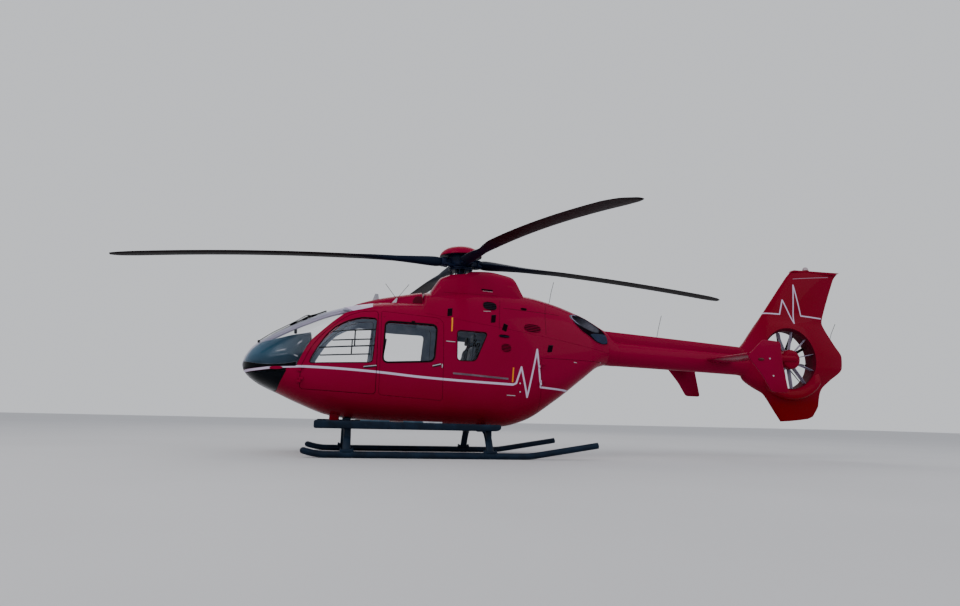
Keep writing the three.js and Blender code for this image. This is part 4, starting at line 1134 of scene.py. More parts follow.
def on_shell(c):
    """Whether a place on the port skin belongs to the fuselage shell."""
    if in_cowling(c) or abs(c.z - deck_z(c.x)) < SEAM and c.x > DECK_FRONT:
        return False
    if within(WINDSHIELD, c.x, c.z) or within(CHIN_WINDOW, c.x, c.z):
        return c.y > -CENTRE_POST
    if within(DOOR_LINE, c.x, c.z) or within(SLIDE_LINE, c.x, c.z):
        return False
    if within(inset(CARGO_DOOR, -PANEL_GAP), c.x, c.z):
        return False
    return not within(WINDOW_LINES["aft_window"], c.x, c.z)


def whole(bm):
    """The port half of a skin joined to its mirror image along the middle, facing outwards."""
    both = joined(bm, mirrored(bm))
    bmesh.ops.remove_doubles(both, verts=[v for v in both.verts if abs(v.co.y) < 1e-4], dist=TOUCHING)
    bmesh.ops.recalc_face_normals(both, faces=both.faces)
    return both


def build_shell():
    brow = [(-1.70, 2.10), (-2.05, 2.32), (-1.40, 2.40), (-1.41, 2.178), (-1.56, 2.135)]
    bm = port_skin()
    scored(bm, brow)
    keeping(bm, on_shell)
    for face in bm.faces:
        c = face.calc_center_median()
        if within(WINDSHIELD, c.x, c.z) or within(brow, c.x, c.z):
            face.material_index = 1
    bm = whole(bm)
    rim = [e for e in bm.edges if e.is_boundary and all(v.co.x < -3.26 for v in e.verts)]
    filled = bmesh.ops.holes_fill(bm, edges=rim, sides=0)["faces"]
    for face in filled:
        face.material_index = 1
    thickened(bm, SHELL_WALL, 2)
    return piece("fuselage_shell", bm, ["red_lacquer", "white_lacquer", "cabin_lining"],
                 stands_for=("belly", "cockpit_frame", "aft_fuselage"))


def run(name, steps):
    """Runs the builders of an operator, and stops the script where one can't finish."""
    for step in steps:
        if step() is None:
            raise RuntimeError(f"{name}: {step.__name__} made nothing")
    return {"FINISHED"}


SIDES = ("left", "right")
AIRFRAME = ("airframe", "airframe")
DOOR_BODIES = ("cockpit_door_left", "cockpit_door_right")
CARGO_BODIES = ("cargo_door_left", "cargo_door_right")


def pair_of_pieces(name, bm, finishes, bodies=AIRFRAME):
    """A port piece and its mirror image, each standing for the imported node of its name."""
    return [piece(f"{name}_shape_{side}", shape, finishes, body, stands_for=(f"{name}_{side}",))
            for shape, side, body in zip((bm, mirrored(bm)), SIDES, bodies)]


def pair_of_fittings(name, bm, finishes, bodies=AIRFRAME, slot=None):
    """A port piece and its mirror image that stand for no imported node."""
    return [piece(f"{name}_{side}", shape, finishes, body, slot)
            for shape, side, body in zip((bm, mirrored(bm)), SIDES, bodies)]


def nose_pane(outline, depth):
    """A pane beside the centre post."""
    line = inset(outline, PANE_GAP)
    keep = lambda c: within(line, c.x, c.z) and c.y < -CENTRE_POST - POST_GAP
    return thickened(panel(keep, depth), PANE_WALL)


def build_windshield():
    return pair_of_pieces("windshield", nose_pane(WINDSHIELD, 0.004), "clear_glass")


def build_chin_windows():
    return pair_of_pieces("chin_window", nose_pane(CHIN_WINDOW, 0.003), "dark_glass")


def build_windows():
    """The side panes, each with the rubber round its opening."""
    made = []
    for name, bodies in (("cockpit_window", DOOR_BODIES), ("sliding_window", AIRFRAME),
                         ("aft_window", AIRFRAME)):
        outline = WINDOW_LINES[name]
        outer, inner = (inset(outline, side) for side in SEALS[name])
        pane = thickened(panel(lambda c: within(outline, c.x, c.z), 0.005), 0.007)
        ring = panel(lambda c: within(outer, c.x, c.z) and not within(inner, c.x, c.z), -0.004)
        made += pair_of_pieces(name, pane, "clear_glass", bodies)
        made += pair_of_fittings(f"{name}_seal", thickened(ring, 0.014), "black_rubber", bodies)
    return made


def knuckles(x, y, levels, along):
    """Hinge barrels on an upright axis, each with the arm that carries it."""
    parts = []
    for z in levels:
        barrel = lathe([(0, z), (0.0115, z), (0.013, z + 0.002), (0.013, z + 0.036), (0.0115, z + 0.038),
                        (0, z + 0.038)],
                       20, centre=(x, y, 0))
        arm = block(sorted((x, x + along * 0.045)), (y - 0.009, y + 0.03), (z + 0.001, z + 0.037), 0.003)
        parts += [barrel, arm]
    return joined(*parts)


def door_skin(outline, gap, window):
    """A door's skin round its window, with the cabin's lining on the inner faces."""
    edge, opening = inset(outline, gap), WINDOW_LINES[window]
    return thickened(panel(lambda c: within(edge, c.x, c.z) and not within(opening, c.x, c.z)), DOOR_SKIN, 1)


def build_cockpit_doors():
    skin = door_skin(DOOR_LINE, DOOR_GAP, "cockpit_window")
    door = joined(skin, painted(knuckles(*FRONT_HINGE, (1.0483, 1.2083), 1), 0))
    return pair_of_pieces("cockpit_door", door, ["red_lacquer", "cabin_lining"], DOOR_BODIES)


def build_sliding_doors():
    skin = door_skin(SLIDE_LINE, PANEL_GAP, "sliding_window")
    return pair_of_pieces("sliding_door", skin, ["red_lacquer", "cabin_lining"])


def build_cargo_doors():
    skin = port_skin()
    keeping(skin, lambda c: within(CARGO_DOOR, c.x, c.z))
    bisected(skin, skin.faces[:], (0, -PANEL_GAP, 0), (0, 1, 0))
    keeping(skin, lambda c: c.y < -PANEL_GAP)
    thickened(skin, DOOR_SKIN, 1)
    door = joined(skin, painted(knuckles(*REAR_HINGE, (1.1183, 1.3783), 1), 0))
    return pair_of_pieces("cargo_door", door, ["red_lacquer", "cabin_lining"], CARGO_BODIES)


def build_fixed_knuckles():
    front = knuckles(*FRONT_HINGE, (1.010, 1.170), -1)
    rear = knuckles(*REAR_HINGE, (1.080, 1.340), -1)
    return pair_of_fittings("fixed_knuckles", joined(front, rear), "red_lacquer")


def build_door_seals():
    """Dark rubber behind the gaps round the doors."""
    rings = []
    for line, gap in ((DOOR_LINE, DOOR_GAP), (SLIDE_LINE, PANEL_GAP)):
        inner = inset(line, gap)
        ring = panel(lambda c: within(line, c.x, c.z) and not within(inner, c.x, c.z), 0.018)
        rings.append(thickened(ring, 0.008))
    return pair_of_fittings("door_rubber", joined(*rings), "black_rubber")


def exhaust_axis():
    """Where the port exhaust starts, and which way it points."""
    out, down = EXHAUST["out"], EXHAUST["down"]
    axis = Vector((math.cos(out) * math.cos(down), -math.sin(out) * math.cos(down), -math.sin(down)))
    return Vector(EXHAUST["start"]), axis


def bored(bm, start, axis, radius, parts=44):
    """Cuts a round hole through the faces of a skin that lie ahead of a point, along an axis."""
    side = axis.orthogonal().normalized()
    up = axis.cross(side)
    away = lambda p: ((p - start) - axis * (p - start).dot(axis)).length
    ahead = lambda f: (f.calc_center_median() - start).dot(axis) > 0
    near = [f for f in bm.faces if ahead(f) and min(away(v.co) for v in f.verts) < radius * 1.3]
    ring = [start + (side * math.cos(t) + up * math.sin(t)) * radius
            for t in (2 * math.pi * k / parts for k in range(parts))]
    for a, b in zip(ring, ring[1:] + ring[:1]):
        middle = (a + b) / 2
        flat = lambda p: ((p - middle) - axis * (p - middle).dot(axis)).length
        picked = [f for f in near if min(flat(v.co) for v in f.verts) < 0.06]
        near += bisected(bm, picked, a, (b - a).cross(axis))
        near = [f for f in dict.fromkeys(near) if f.is_valid]
    drop = [f for f in bm.faces if ahead(f) and away(f.calc_center_median()) < radius]
    bmesh.ops.delete(bm, geom=drop, context="FACES")
    return bm


def build_cowling():
    start, axis = exhaust_axis()
    bm = panel(lambda c: in_cowling(c) and c.z - deck_z(c.x) > SEAM)
    bm = whole(bored(bm, start, axis, EXHAUST["radius"] + 0.012))
    thickened(bm, 0.018, 1)
    return piece("cowling_shell", bm, ["red_lacquer", "black_moulding"], stands_for=("main_cowling",))


def build_mast_fairing():
    bm = lofted(MAST_FAIRING, 72, 0.04)
    bored(bm, Vector((0, 0, 2.5)), Vector((0, 0, 1)), 0.21, 48)
    keeping(bm, lambda c: c.z > 2.36)
    thickened(bm, 0.02, 1)
    return piece("mast_fairing_shell", bm, ["red_lacquer", "black_moulding"], stands_for=("mast_fairing",))


def pod_top(x, y):
    """The height of the fuselage skin above a place in the plan."""
    _, _, top, half, wide, upper, _ = row_at(BODY, x)
    share = min(abs(y) / half, 0.9999)
    return wide + (top - wide) * (1 - share**upper) ** (1 / upper)


def build_forward_fairing():
    bm = lofted(FORWARD_FAIRING, 72, 0.04)
    keeping(bm, lambda c: c.z > 2.0 and c.z > pod_top(c.x, c.y) - 0.02 and c.x < DECK_FRONT - 0.002)
    thickened(bm, 0.012)
    return piece("forward_fairing_shell", bm, "red_lacquer", stands_for=("forward_fairing",))


def skin_reach(point, direction, proud):
    """How far along a direction a line leaves the fuselage skin grown by a little."""
    low, high = 0.0, 1.2
    for _ in range(24):
        middle = (low + high) / 2
        p = point + direction * middle
        inside = p.z < row_at(BODY, p.x)[2] + proud and abs(p.y) < -side_y(p.x, p.z) + proud
        low, high = (middle, high) if inside else (low, middle)
    return low


def build_exhausts():
    start, axis = exhaust_axis()
    side = axis.orthogonal().normalized()
    up = axis.cross(side)
    sides, rows = 56, 14
    turn = lambda i: 2 * math.pi * i / sides
    spoke = lambda i, r: (side * math.cos(turn(i)) + up * math.sin(turn(i))) * r

    def place(i, j):
        foot = start + spoke(i, EXHAUST["radius"])
        return foot + axis * (skin_reach(foot, axis, 0.006) * j / rows)

    pipe = grid(sides, rows, place)
    closed(pipe, caps=False)
    thickened(pipe, 0.008)
    made = pair_of_pieces("exhaust", pipe, "scorched_metal")
    rim = [start + spoke(i, EXHAUST["radius"] + 0.004) for i in range(sides + 1)]
    rim = [p + axis * skin_reach(p, axis, 0.007) for p in rim]
    ring = swept(rim, 0.007, sides=8)
    cone = lathe([(0.0, 0.16), (0.012, 0.155), (0.040, 0.10), (0.060, 0.02), (0.066, -0.02), (0.0, -0.02)],
                 40)
    aim = axis.to_track_quat("Z", "Y").to_matrix().to_4x4()
    cone = moved(cone, Matrix.Translation(start + axis * 0.05) @ aim)
    leaf = rounded(RECESS, 0.05, 4)
    # The recess round the exhaust is a dark patch: painted shade
    recess = side_patch(leaf, 0.001, 0.0025, bore=(start, axis, EXHAUST["radius"] + 0.008))
    edge = swept([side_point(x, z) + side_normal(x, z) * 0.001 for x, z in leaf + leaf[:1]], 0.006, sides=8)
    shield = side_patch(rounded(SHIELD, 0.035, 5), 0.004, 0.004)
    made += pair_of_fittings("exhaust_cone", cone, "scorched_metal")
    made += pair_of_fittings("exhaust_lip", ring, "lip_metal")
    made += pair_of_fittings("exhaust_recess", recess, "deep_opening")
    made += pair_of_fittings("exhaust_recess_rim", edge, "red_lacquer")
    return made + pair_of_fittings("heat_shield", shield, "shield_metal")


def build_machinery():
    """The engines and the gearbox keep their packed blocks, with a metal finish."""
    for name in ("engine_left", "engine_right", "main_gearbox"):
        slots = frame["nodes"][name].data.materials
        slots.clear()
        slots.append(material("bare_metal"))
    return frame["nodes"]["main_gearbox"]


def wing_line(chord, thick, sides, blunt=0.06):
    """A wing section as (along, up) points, round from the leading edge over the upper side."""
    found = []
    for k in range(sides):
        turn = 2 * math.pi * k / sides
        along = (1 - math.cos(turn)) / 2
        depth = math.sqrt(along) * (1 - along) * 2.6 + blunt
        side = 0 if k in (0, sides // 2) else math.copysign(1, math.sin(turn))
        found.append((along * chord, thick / 2 * depth * side))
    return found


def build_boom():
    boom = lofted([r for r in BOOM if r[0] <= 4.9], 56, 0.12)
    collar = lofted([(2.451, 1.470, 2.050, 0.245, 1.680, 2.0, 2.0),
                     (2.52, 1.467, 1.985, 0.235, 1.677, 2.0, 2.0),
                     (2.64, 1.463, 1.878, 0.212, 1.672, 2.0, 2.0)], 56, 0.02)
    return piece("tail_boom_shell", joined(boom, collar), "red_lacquer", stands_for=("tail_boom",))


def build_spine():
    bm = lofted(SPINE, 48, 0.12)
    softened(bm, 0.006, 2, 60)
    return piece("drive_shaft_cover_shell", bm, "red_lacquer", stands_for=("drive_shaft_cover",))


def build_stabilizer():
    sides, spans = 40, 24
    half, chord = STABILIZER["half"], STABILIZER["chord"]
    line = wing_line(chord, STABILIZER["thick"], sides)

    def place(i, j):
        along, up = line[i % sides]
        lift = (chord / 2 - along) * STABILIZER["nose_up"]
        return Vector((STABILIZER["x"] + along, -half + 2 * half * j / spans, STABILIZER["z"] + up + lift))

    wing = closed(grid(sides, spans, place))
    return piece("stabilizer_wing", wing, "red_lacquer", stands_for=("stabilizer",))


def build_end_plates():
    plate = slab(rounded(END_PLATE, 0.05, 5), *PLATE_SIDES, 0.010, 3)
    return pair_of_pieces("end_plate", plate, "red_lacquer")


def fin_shape():
    sides, lines = 72, []
    for z in stations(FIN, 0.035):
        _, lead, trail, thick = row_at(FIN, z)
        lines.append([(lead + along, up, z) for along, up in wing_line(trail - lead, thick * 2, sides)])
    bm = closed(grid(sides, len(lines) - 1, lambda i, j: Vector(lines[j][i % sides])))
    for v in bm.verts:
        if v.co.z < 0.9:
            foot = row_at([(5.5, 0.62), (5.7, 0.625), (6.19, 0.675), (6.37, 0.738), (6.44, 0.80)], v.co.x)[1]
            v.co.z = foot + (v.co.z - 0.62) * (0.9 - foot) / 0.28
    return bm


def duct_lip(radius, depth, parts):
    """The flare of the fan duct from its wall outwards, as (radius, half width)."""
    turns = [math.pi / 2 * k / parts for k in range(parts + 1)]
    return [(radius - 0.14 * math.cos(t), 0.08 + depth * math.sin(t)) for t in turns]


def shroud_ring():
    """The thick lower rim of the fan duct, which sinks into the fin on both sides."""
    half = duct_lip(0.6415, 0.12, 10) + [(0.665, 0.198), (0.687, 0.180), (0.699, 0.145),
                                         (0.702, 0.08), (0.702, 0.0)]
    ring = fan_lathe(half + [(r, -y) for r, y in half[-2::-1]] + half[:1], 96)
    low = lambda p: math.degrees(math.atan2(abs(p.x - FAN_AXIS.x), FAN_AXIS.z - p.z))
    for v in ring.verts:
        sink = min(max((low(v.co) - 50) / 25, 0), 1)
        sink *= sink * (3 - 2 * sink)
        out = v.co - FAN_AXIS
        out.y = 0
        v.co -= out.normalized() * max(out.length - 0.6, 0) * sink
        v.co.y *= 1 - 0.5 * sink
    return closed(keeping(ring, lambda c: low(c) < 84))


def fan_lathe(profile, sides):
    """A shape turned round the fan's axis."""
    return lathe(profile, sides, "Y", (FAN_AXIS.x, 0, FAN_AXIS.z))


def duct_shape():
    """The space of the fan duct with its flared lips, as a turned solid."""
    half = [(0, 0.32), (0.66, 0.32)] + duct_lip(0.64, 0.13, 12)[::-1]
    return fan_lathe(half + [(r, -y) for r, y in half[::-1]], 96)


def carved(bm, cutter):
    """A shape less another one."""
    body, tool = placed("body", mesh_of("body", bm)), placed("cutter", mesh_of("cutter", cutter))
    modifier = body.modifiers.new("cut", "BOOLEAN")
    modifier.operation, modifier.solver, modifier.object = "DIFFERENCE", "EXACT", tool
    bpy.context.view_layer.update()
    result = bmesh.new()
    result.from_object(body, bpy.context.evaluated_depsgraph_get())
    for obj in (body, tool):
        mesh = obj.data
        bpy.data.objects.remove(obj)
        bpy.data.meshes.remove(mesh)
    return result


def build_fin():
    fin = carved(fin_shape(), duct_shape())
    # The fan duct's inner wall takes the darker shaded_red: painted shade
    for face in fin.faces:
        out = face.calc_center_median() - FAN_AXIS
        out.y = 0
        face.material_index = int(out.length < 0.66 and face.normal.dot(out) < -0.3 * out.length)
    root = lofted([r for r in BOOM if r[0] >= 4.9], 56, 0.08)
    root = carved(root, duct_shape())
    cap = slab(rounded([(6.08, 3.285), (6.11, 3.32), (7.055, 3.32), (6.96, 3.275)], 0.012), -0.05,
               0.05, 0.012, 3)
    return piece("tail_fin_shell", joined(fin, root, cap, shroud_ring()), ["red_lacquer", "shaded_red"],
                 stands_for=("tail_fin",))


def fan_vane(angle, y, start, end, chord, thick, pitch):
    """A blade of wing section from the hub outwards, turned round the fan's axis."""
    sides, spans = 16, 10

    def place(i, j):
        t = j / spans
        along, up = wing_line(chord * (1 - 0.18 * t), thick * (1 - 0.35 * t), sides, 0.1)[i % sides]
        return Vector((along - chord * 0.4, up, start + (end - start) * t))

    bm = closed(grid(sides, spans, place))
    turned = Matrix.Rotation(math.radians(angle), 4, "Y") @ Matrix.Rotation(math.radians(pitch), 4, "Z")
    return moved(bm, Matrix.Translation((FAN_AXIS.x, y, FAN_AXIS.z)) @ turned)


def build_fan_stator():
    hub = fan_lathe([(0, -0.205), (0.10, -0.204), (0.140, -0.199), (0.158, -0.189), (0.166, -0.172),
                     (0.17, -0.145), (0.17, -0.034), (0.166, -0.03), (0, -0.03)], 56)
    plan = ((5.26, -0.10), (5.40, -0.16), (5.55, -0.186), (5.893, -0.188))
    path, width = domed(smooth_path([(x, y, FAN_AXIS.z + 0.008) for x, y in plan], 0.03), 0.062)
    housing = swept(path, width, lambda t: width(t) * 0.75, 28, (0, 0, 1))
    vanes = [fan_vane(12 + 360 / 11 * k, -0.075, 0.13, 0.505, 0.10, 0.018, 84) for k in range(11)]
    return [piece("fan_stator_fine", joined(hub, housing), "red_lacquer", stands_for=("fan_stator",)),
            piece("fan_stator_vanes", joined(*vanes), "stator_paint")]


def build_fan_rotor():
    hub = fan_lathe([(0, 0.18), (0.04, 0.178), (0.085, 0.17), (0.118, 0.158), (0.145, 0.14),
                     (0.16, 0.12), (0.165, 0.1),
                     (0.165, 0.024), (0.161, 0.02), (0.042, 0.02), (0.04, -0.029), (0, -0.029)], 56)
    angles = (-7, 26, 63, 99, 139, 173, 206, 243, 279, 319)
    blades = [fan_vane(a, 0.07, 0.13, 0.486, 0.09, 0.018, -66) for a in angles]
    return piece("fan_rotor_fine", joined(hub, *blades), "rotor_composite", "tail_fan",
                 stands_for=("fan_rotor",))


def build_blades():
    made, sides = [], 36
    for k, sag in enumerate(BLADE_SAGS):
        lines = []
        for radius in stations(BLADE, 0.07):
            _, chord, thick = row_at(BLADE, radius)
            droop = sag * radius * radius
            lines.append([(radius, chord * BLADE_NOSE - along, ROTOR_Z - droop + up)
                          for along, up in wing_line(chord, thick, sides, 0.05)])
        bm = closed(grid(sides, len(lines) - 1, lambda i, j: Vector(lines[j][i % sides])))
        made.append(piece(f"rotor_blade_fine_{k + 1}", moved(bm, on_arm(k)), "blade_paint", "main_rotor",
                          stands_for=(f"rotor_blade_{k + 1}",)))
    return made


def on_arm(k, degrees=0.0):
    """Turns a shape built along +X onto one of the four arms of the hub."""
    return Matrix.Rotation(math.pi + ROTOR_TURN + math.pi / 2 * k + math.radians(degrees), 4, "Z")


def build_hub():
    parts = [lathe([(0, 2.4203), (0.062, 2.4203), (0.062, 2.915), (0.085, 2.93), (0.135, 2.945),
                    (0.175, 2.97),
                    (0.195, 3.0), (0.205, 3.04), (0.215, 3.09), (0.22, 3.125), (0.215, 3.1397), (0, 3.1397)],
                   64)]
    for k in range(4):
        path = [(0.06, 0, 3.04), (0.12, 0, 3.04), (0.20, 0, 3.04), (0.28, 0, 3.04)]
        arm = swept(path, lambda t: 0.080 - 0.006 * t, lambda t: 0.062 - 0.004 * t, 24, (0, 1, 0), 3.2)
        bolt = [(0, 3.094), (0.017, 3.094), (0.017, 3.106), (0.013, 3.110), (0, 3.110)]
        nut = [(0, 2.966), (0.013, 2.966), (0.017, 2.970), (0.017, 2.984), (0, 2.984)]
        screws = [lathe(profile, 12, centre=(x, y, 0)) for profile in (bolt, nut) for x in (0.235, 0.265)
                  for y in (-0.042, 0.042)]
        damper = swept([(0.10, 0.11, 2.975), (0.17, 0.115, 2.975), (0.245, 0.12, 2.975)], 0.022, sides=20)
        parts += [moved(part, on_arm(k)) for part in (arm, *screws, damper)]
    return piece("rotor_hub_fine", joined(*parts), "hub_composite", "main_rotor", stands_for=("rotor_hub",))


def build_cuffs():
    """The thick root cuffs of the blades, with the clamps that hold them on the hub."""
    parts = []
    for k in range(4):
        drop = BLADE_SAGS[k] * 0.10
        path = [(x, 0, ROTOR_Z - drop * (x / 0.3) ** 2) for x in (0.262, 0.275, 0.30, 0.325, 0.34)]
        cuff = swept(path, lambda t: 0.100 - 0.010 * abs(2 * t - 1),
                     lambda t: 0.074 - 0.010 * abs(2 * t - 1), 32, (0, 1, 0), 3.0)
        horn = block((0.15, 0.31), (0.085, 0.112), (2.985, 3.015), 0.008, 2)
        parts += [moved(part, on_arm(k)) for part in (cuff, horn)]
    return piece("blade_cuffs", joined(*parts), "hub_composite", "main_rotor")


def build_cap():
    dome = [(0.0, 3.31), (0.04, 3.3095), (0.09, 3.3062), (0.15, 3.297), (0.20, 3.283), (0.25, 3.262),
            (0.295, 3.232), (0.325, 3.197), (0.342, 3.165), (0.345, 3.150), (0.340, 3.1405), (0.30, 3.1405),
            (0.0, 3.1405)]
    cap = lathe(dome, 72)
    for face in cap.faces:
        face.material_index = int(face.normal.z < -0.5)
    return piece("rotor_cap_fine", cap, ["red_lacquer", "hub_composite"], "main_rotor",
                 stands_for=("rotor_cap",))


def build_swashplate():
    plates = [
        lathe([(0.0625, 2.912), (0.185, 2.912), (0.192, 2.917), (0.192, 2.928), (0.184, 2.932),
               (0.0625, 2.932), (0.0625, 2.912)], 64),
        lathe([(0.0625, 2.936), (0.190, 2.936), (0.197, 2.941), (0.197, 2.951), (0.190, 2.956),
               (0.0625, 2.956), (0.0625, 2.936)], 64),
    ]
    links = []
    for k in range(4):
        for degrees, radius, thick, foot, head in ((18, 0.200, 0.009, 2.945, 2.995),
                                                   (-24, 0.168, 0.007, 2.72, 2.922),
                                                   (10, 0.172, 0.007, 2.72, 2.922),
                                                   (45, 0.165, 0.009, 2.72, 2.922)):
            link = rod((radius, 0, foot), (radius, 0, head), thick, 14)
            ends = [ball((radius, 0, z), (thick * 1.7,) * 3, 16) for z in (foot, head)]
            links += [moved(part, on_arm(k, degrees)) for part in (link, *ends)]
        links.append(moved(block((0.15, 0.208), (-0.012, 0.012), (2.938, 2.954), 0.005), on_arm(k, 18)))
    return piece("swashplate_fine", joined(*plates, *links), "hub_composite", "main_rotor",
                 stands_for=("swashplate",))


def skid_path():
    path = smooth_path([(x, -SKID["y"], z) for x, z in SKID_LINE], 0.06)
    return [Vector((p.x, p.y, max(p.z, SKID["radius"]))) for p in path]


def build_skids():
    line, width = domed(skid_path(), SKID["radius"])
    tube = swept(line, width, sides=28, across=(0, 1, 0))
    return pair_of_pieces("skid", tube, "gear_coat")


def build_cross_tubes():
    made = []
    for name, x, crown in CROSS_TUBES:
        half = smooth_path([(x, y, crown * share) for y, share in ARCH], 0.03)
        line = [Vector((p.x, -p.y, p.z)) for p in half[::-1]] + half[1:]
        arch = swept(line, 0.053, 0.030, 24, (1, 0, 0), 2.4)
        bisected(arch, arch.faces[:], (0, 0, SKID_TOP), (0, 0, 1))
        keeping(arch, lambda c: c.z > SKID_TOP)
        bmesh.ops.holes_fill(arch, edges=[e for e in arch.edges if e.is_boundary], sides=0)
        parts = [arch]
        for side in (-1, 1):
            shoe = block(around(x, 0.095), around(side, 0.038), (0.075, 0.116), 0.012, 3)
            band = [(0.044, -0.016), (0.049, -0.014), (0.049, 0.014), (0.044, 0.016), (0.044, -0.016)]
            bands = [lathe(band, 28, "X", (x + dx, side, 0.049)) for dx in (-0.075, 0.075)]
            bracket = block(around(x, 0.04), around(side * 0.88, 0.03),
                            (0.24, 0.3897), 0.008, 3)
            y = side * 0.372
            clamp = block(around(x, 0.054), around(y, 0.044), (crown - 0.035, 0.535), 0.010, 3)
            collar = block(around(x, 0.07), around(y, 0.05),
                           around(crown, 0.038), 0.016, 3)
            head = [(0, 0), (0.012, 0), (0.012, 0.010), (0.008, 0.013), (0, 0.013)]
            heads = [lathe(head, 12, centre=(x + dx, side + dy, 0.114)) for dx in (-0.08, 0.08)
                     for dy in (-0.025, 0.025)]
            parts += [shoe, *bands, bracket, clamp, collar, *heads]
        made.append(piece(f"{name}_fine", joined(*parts), "gear_coat", stands_for=(name,)))
    return made


def build_steps():
    board = slab(rounded(STEP, 0.034, 6), -1.01, -0.83, 0.028, 4)
    made = pair_of_pieces("step", board, "gear_coat")
    top = lambda x: 0.502 - 0.022 * (x + 2.16) / 2.63
    # Lighter pads on the steps' tops: grips, partly a painted reflection of the sky
    pads = [slab([(a, top(a) - 0.004), (a, top(a) + 0.018), (b, top(b) + 0.018), (b, top(b) - 0.004)],
                 -0.978, -0.862, 0.004, 2)
            for a, b in ((-1.53, -1.13), (-0.93, -0.665), (-0.655, -0.386))]
    made += pair_of_fittings("step_grip_glints", joined(*pads[:2]), "grip_mat")
    return made + pair_of_fittings("step_pale_grip_glint", pads[2], "pale_trim", slot="gear_paint")


def cushion(x, y, z, pinch=0.06, cuts=14):
    """A stuffed block: crowned faces whose sides pull in between the corners."""
    bm = bmesh.new()
    bmesh.ops.create_cube(bm, size=2.0)
    bmesh.ops.subdivide_edges(bm, edges=bm.edges[:], cuts=cuts, use_grid_fill=True)
    centre = Vector(((x[0] + x[1]) / 2, (y[0] + y[1]) / 2, (z[0] + z[1]) / 2))
    half = Vector(((x[1] - x[0]) / 2, (y[1] - y[0]) / 2, (z[1] - z[0]) / 2))
    for v in bm.verts:
        a = v.co.copy()
        fall = [1 - abs(c) ** 3 for c in a]
        size = (sum(abs(c) ** 7 for c in a)) ** (1 / 7)
        a /= size
        for c in range(3):
            others = [fall[k] for k in range(3) if k != c]
            a[c] *= 1 - pinch * (1 - min(others)) * 0.8
        v.co = centre + Vector((a.x * half.x, a.y * half.y, a.z * half.z))
    bmesh.ops.smooth_vert(bm, verts=bm.verts, factor=0.4, use_axis_x=True, use_axis_y=True, use_axis_z=True)
    return bm


def evaluated(obj):
    """A new mesh of an object with its modifiers done."""
    bpy.context.view_layer.update()
    return bpy.data.meshes.new_from_object(obj.evaluated_get(bpy.context.evaluated_depsgraph_get()))


# What fills the pads: the cloth's pressure and how many frames it works for
PRESSURE, FILLING = 4.0, 20


def blown(bm, voxel, reach):
    """A closed shape as even cloth, filled with air for a while; no point moves further than reach."""
    obj = placed("pad", mesh_of("pad", bm))
    even = obj.modifiers.new("even", "REMESH")
    even.mode, even.voxel_size = "VOXEL", voxel
    obj.data = evaluated(obj)
    obj.modifiers.clear()
    start = [v.co.copy() for v in obj.data.vertices]
    cloth = obj.modifiers.new("cloth", "CLOTH").settings
    cloth.use_pressure, cloth.uniform_pressure_force = True, PRESSURE
    cloth.effector_weights.gravity = 0.0
    for frame_number in range(1, FILLING + 1):
        bpy.context.scene.frame_set(frame_number)
    obj.data, before = evaluated(obj), obj.data
    bpy.data.meshes.remove(before)
    obj.modifiers.clear()
    bpy.context.scene.frame_set(1)
    for v, place in zip(obj.data.vertices, start):
        move = v.co - place
        v.co = place + move * min(1.0, reach / max(move.length, 1e-9))
    obj.modifiers.new("smooth", "SUBSURF").levels = 1
    result = bmesh.new()
    result.from_mesh(evaluated(obj))
    bpy.data.objects.remove(obj)
    return result


PADS = {}


def stuffed(name, limits, front, lines=(), voxel=0.011, reach=0.014):
    """A pad between limits, blown up, flat where it rests, with sewn channels and a welt round its face.

    front is the axis its seen face looks along and the sign; lines are (axis, place) of the channels.
    """
    if name not in PADS:
        axis, sign = front
        small = [(a + reach * 0.8, b - reach * 0.8) for a, b in limits]
        rest = limits[axis][0] if sign > 0 else limits[axis][1]
        small[axis] = (rest, small[axis][1]) if sign > 0 else (small[axis][0], rest)
        bm = blown(cushion(*small), voxel, reach)
        bm.normal_update()
        for v in bm.verts:
            facing = min(max(v.normal[axis] * sign * 2 - 0.6, 0), 1)
            for across, place in lines:
                v.co -= v.normal * 0.006 * facing * math.exp(-(((v.co[across] - place) / 0.008) ** 2))
            v.co[axis] = rest + sign * max((v.co[axis] - rest) * sign, 0)
        tree = BVHTree.FromBMesh(bm)
        u, w = (k for k in range(3) if k != axis)
        face = small[axis][1] - 0.018 if sign > 0 else small[axis][0] + 0.018
        path = []
        for a, b in oval(*small[u], *small[w], parts=88, power=7.0):
            p = Vector((0, 0, 0))
            p[axis], p[u], p[w] = face, a, b
            path.append(tree.find_nearest(p)[0])
        welt = swept(path + path[:1], 0.0042, sides=8)
        PADS[name] = joined(bm, painted(welt, 1))
    return PADS[name].copy()


CREW_HALF = 0.23


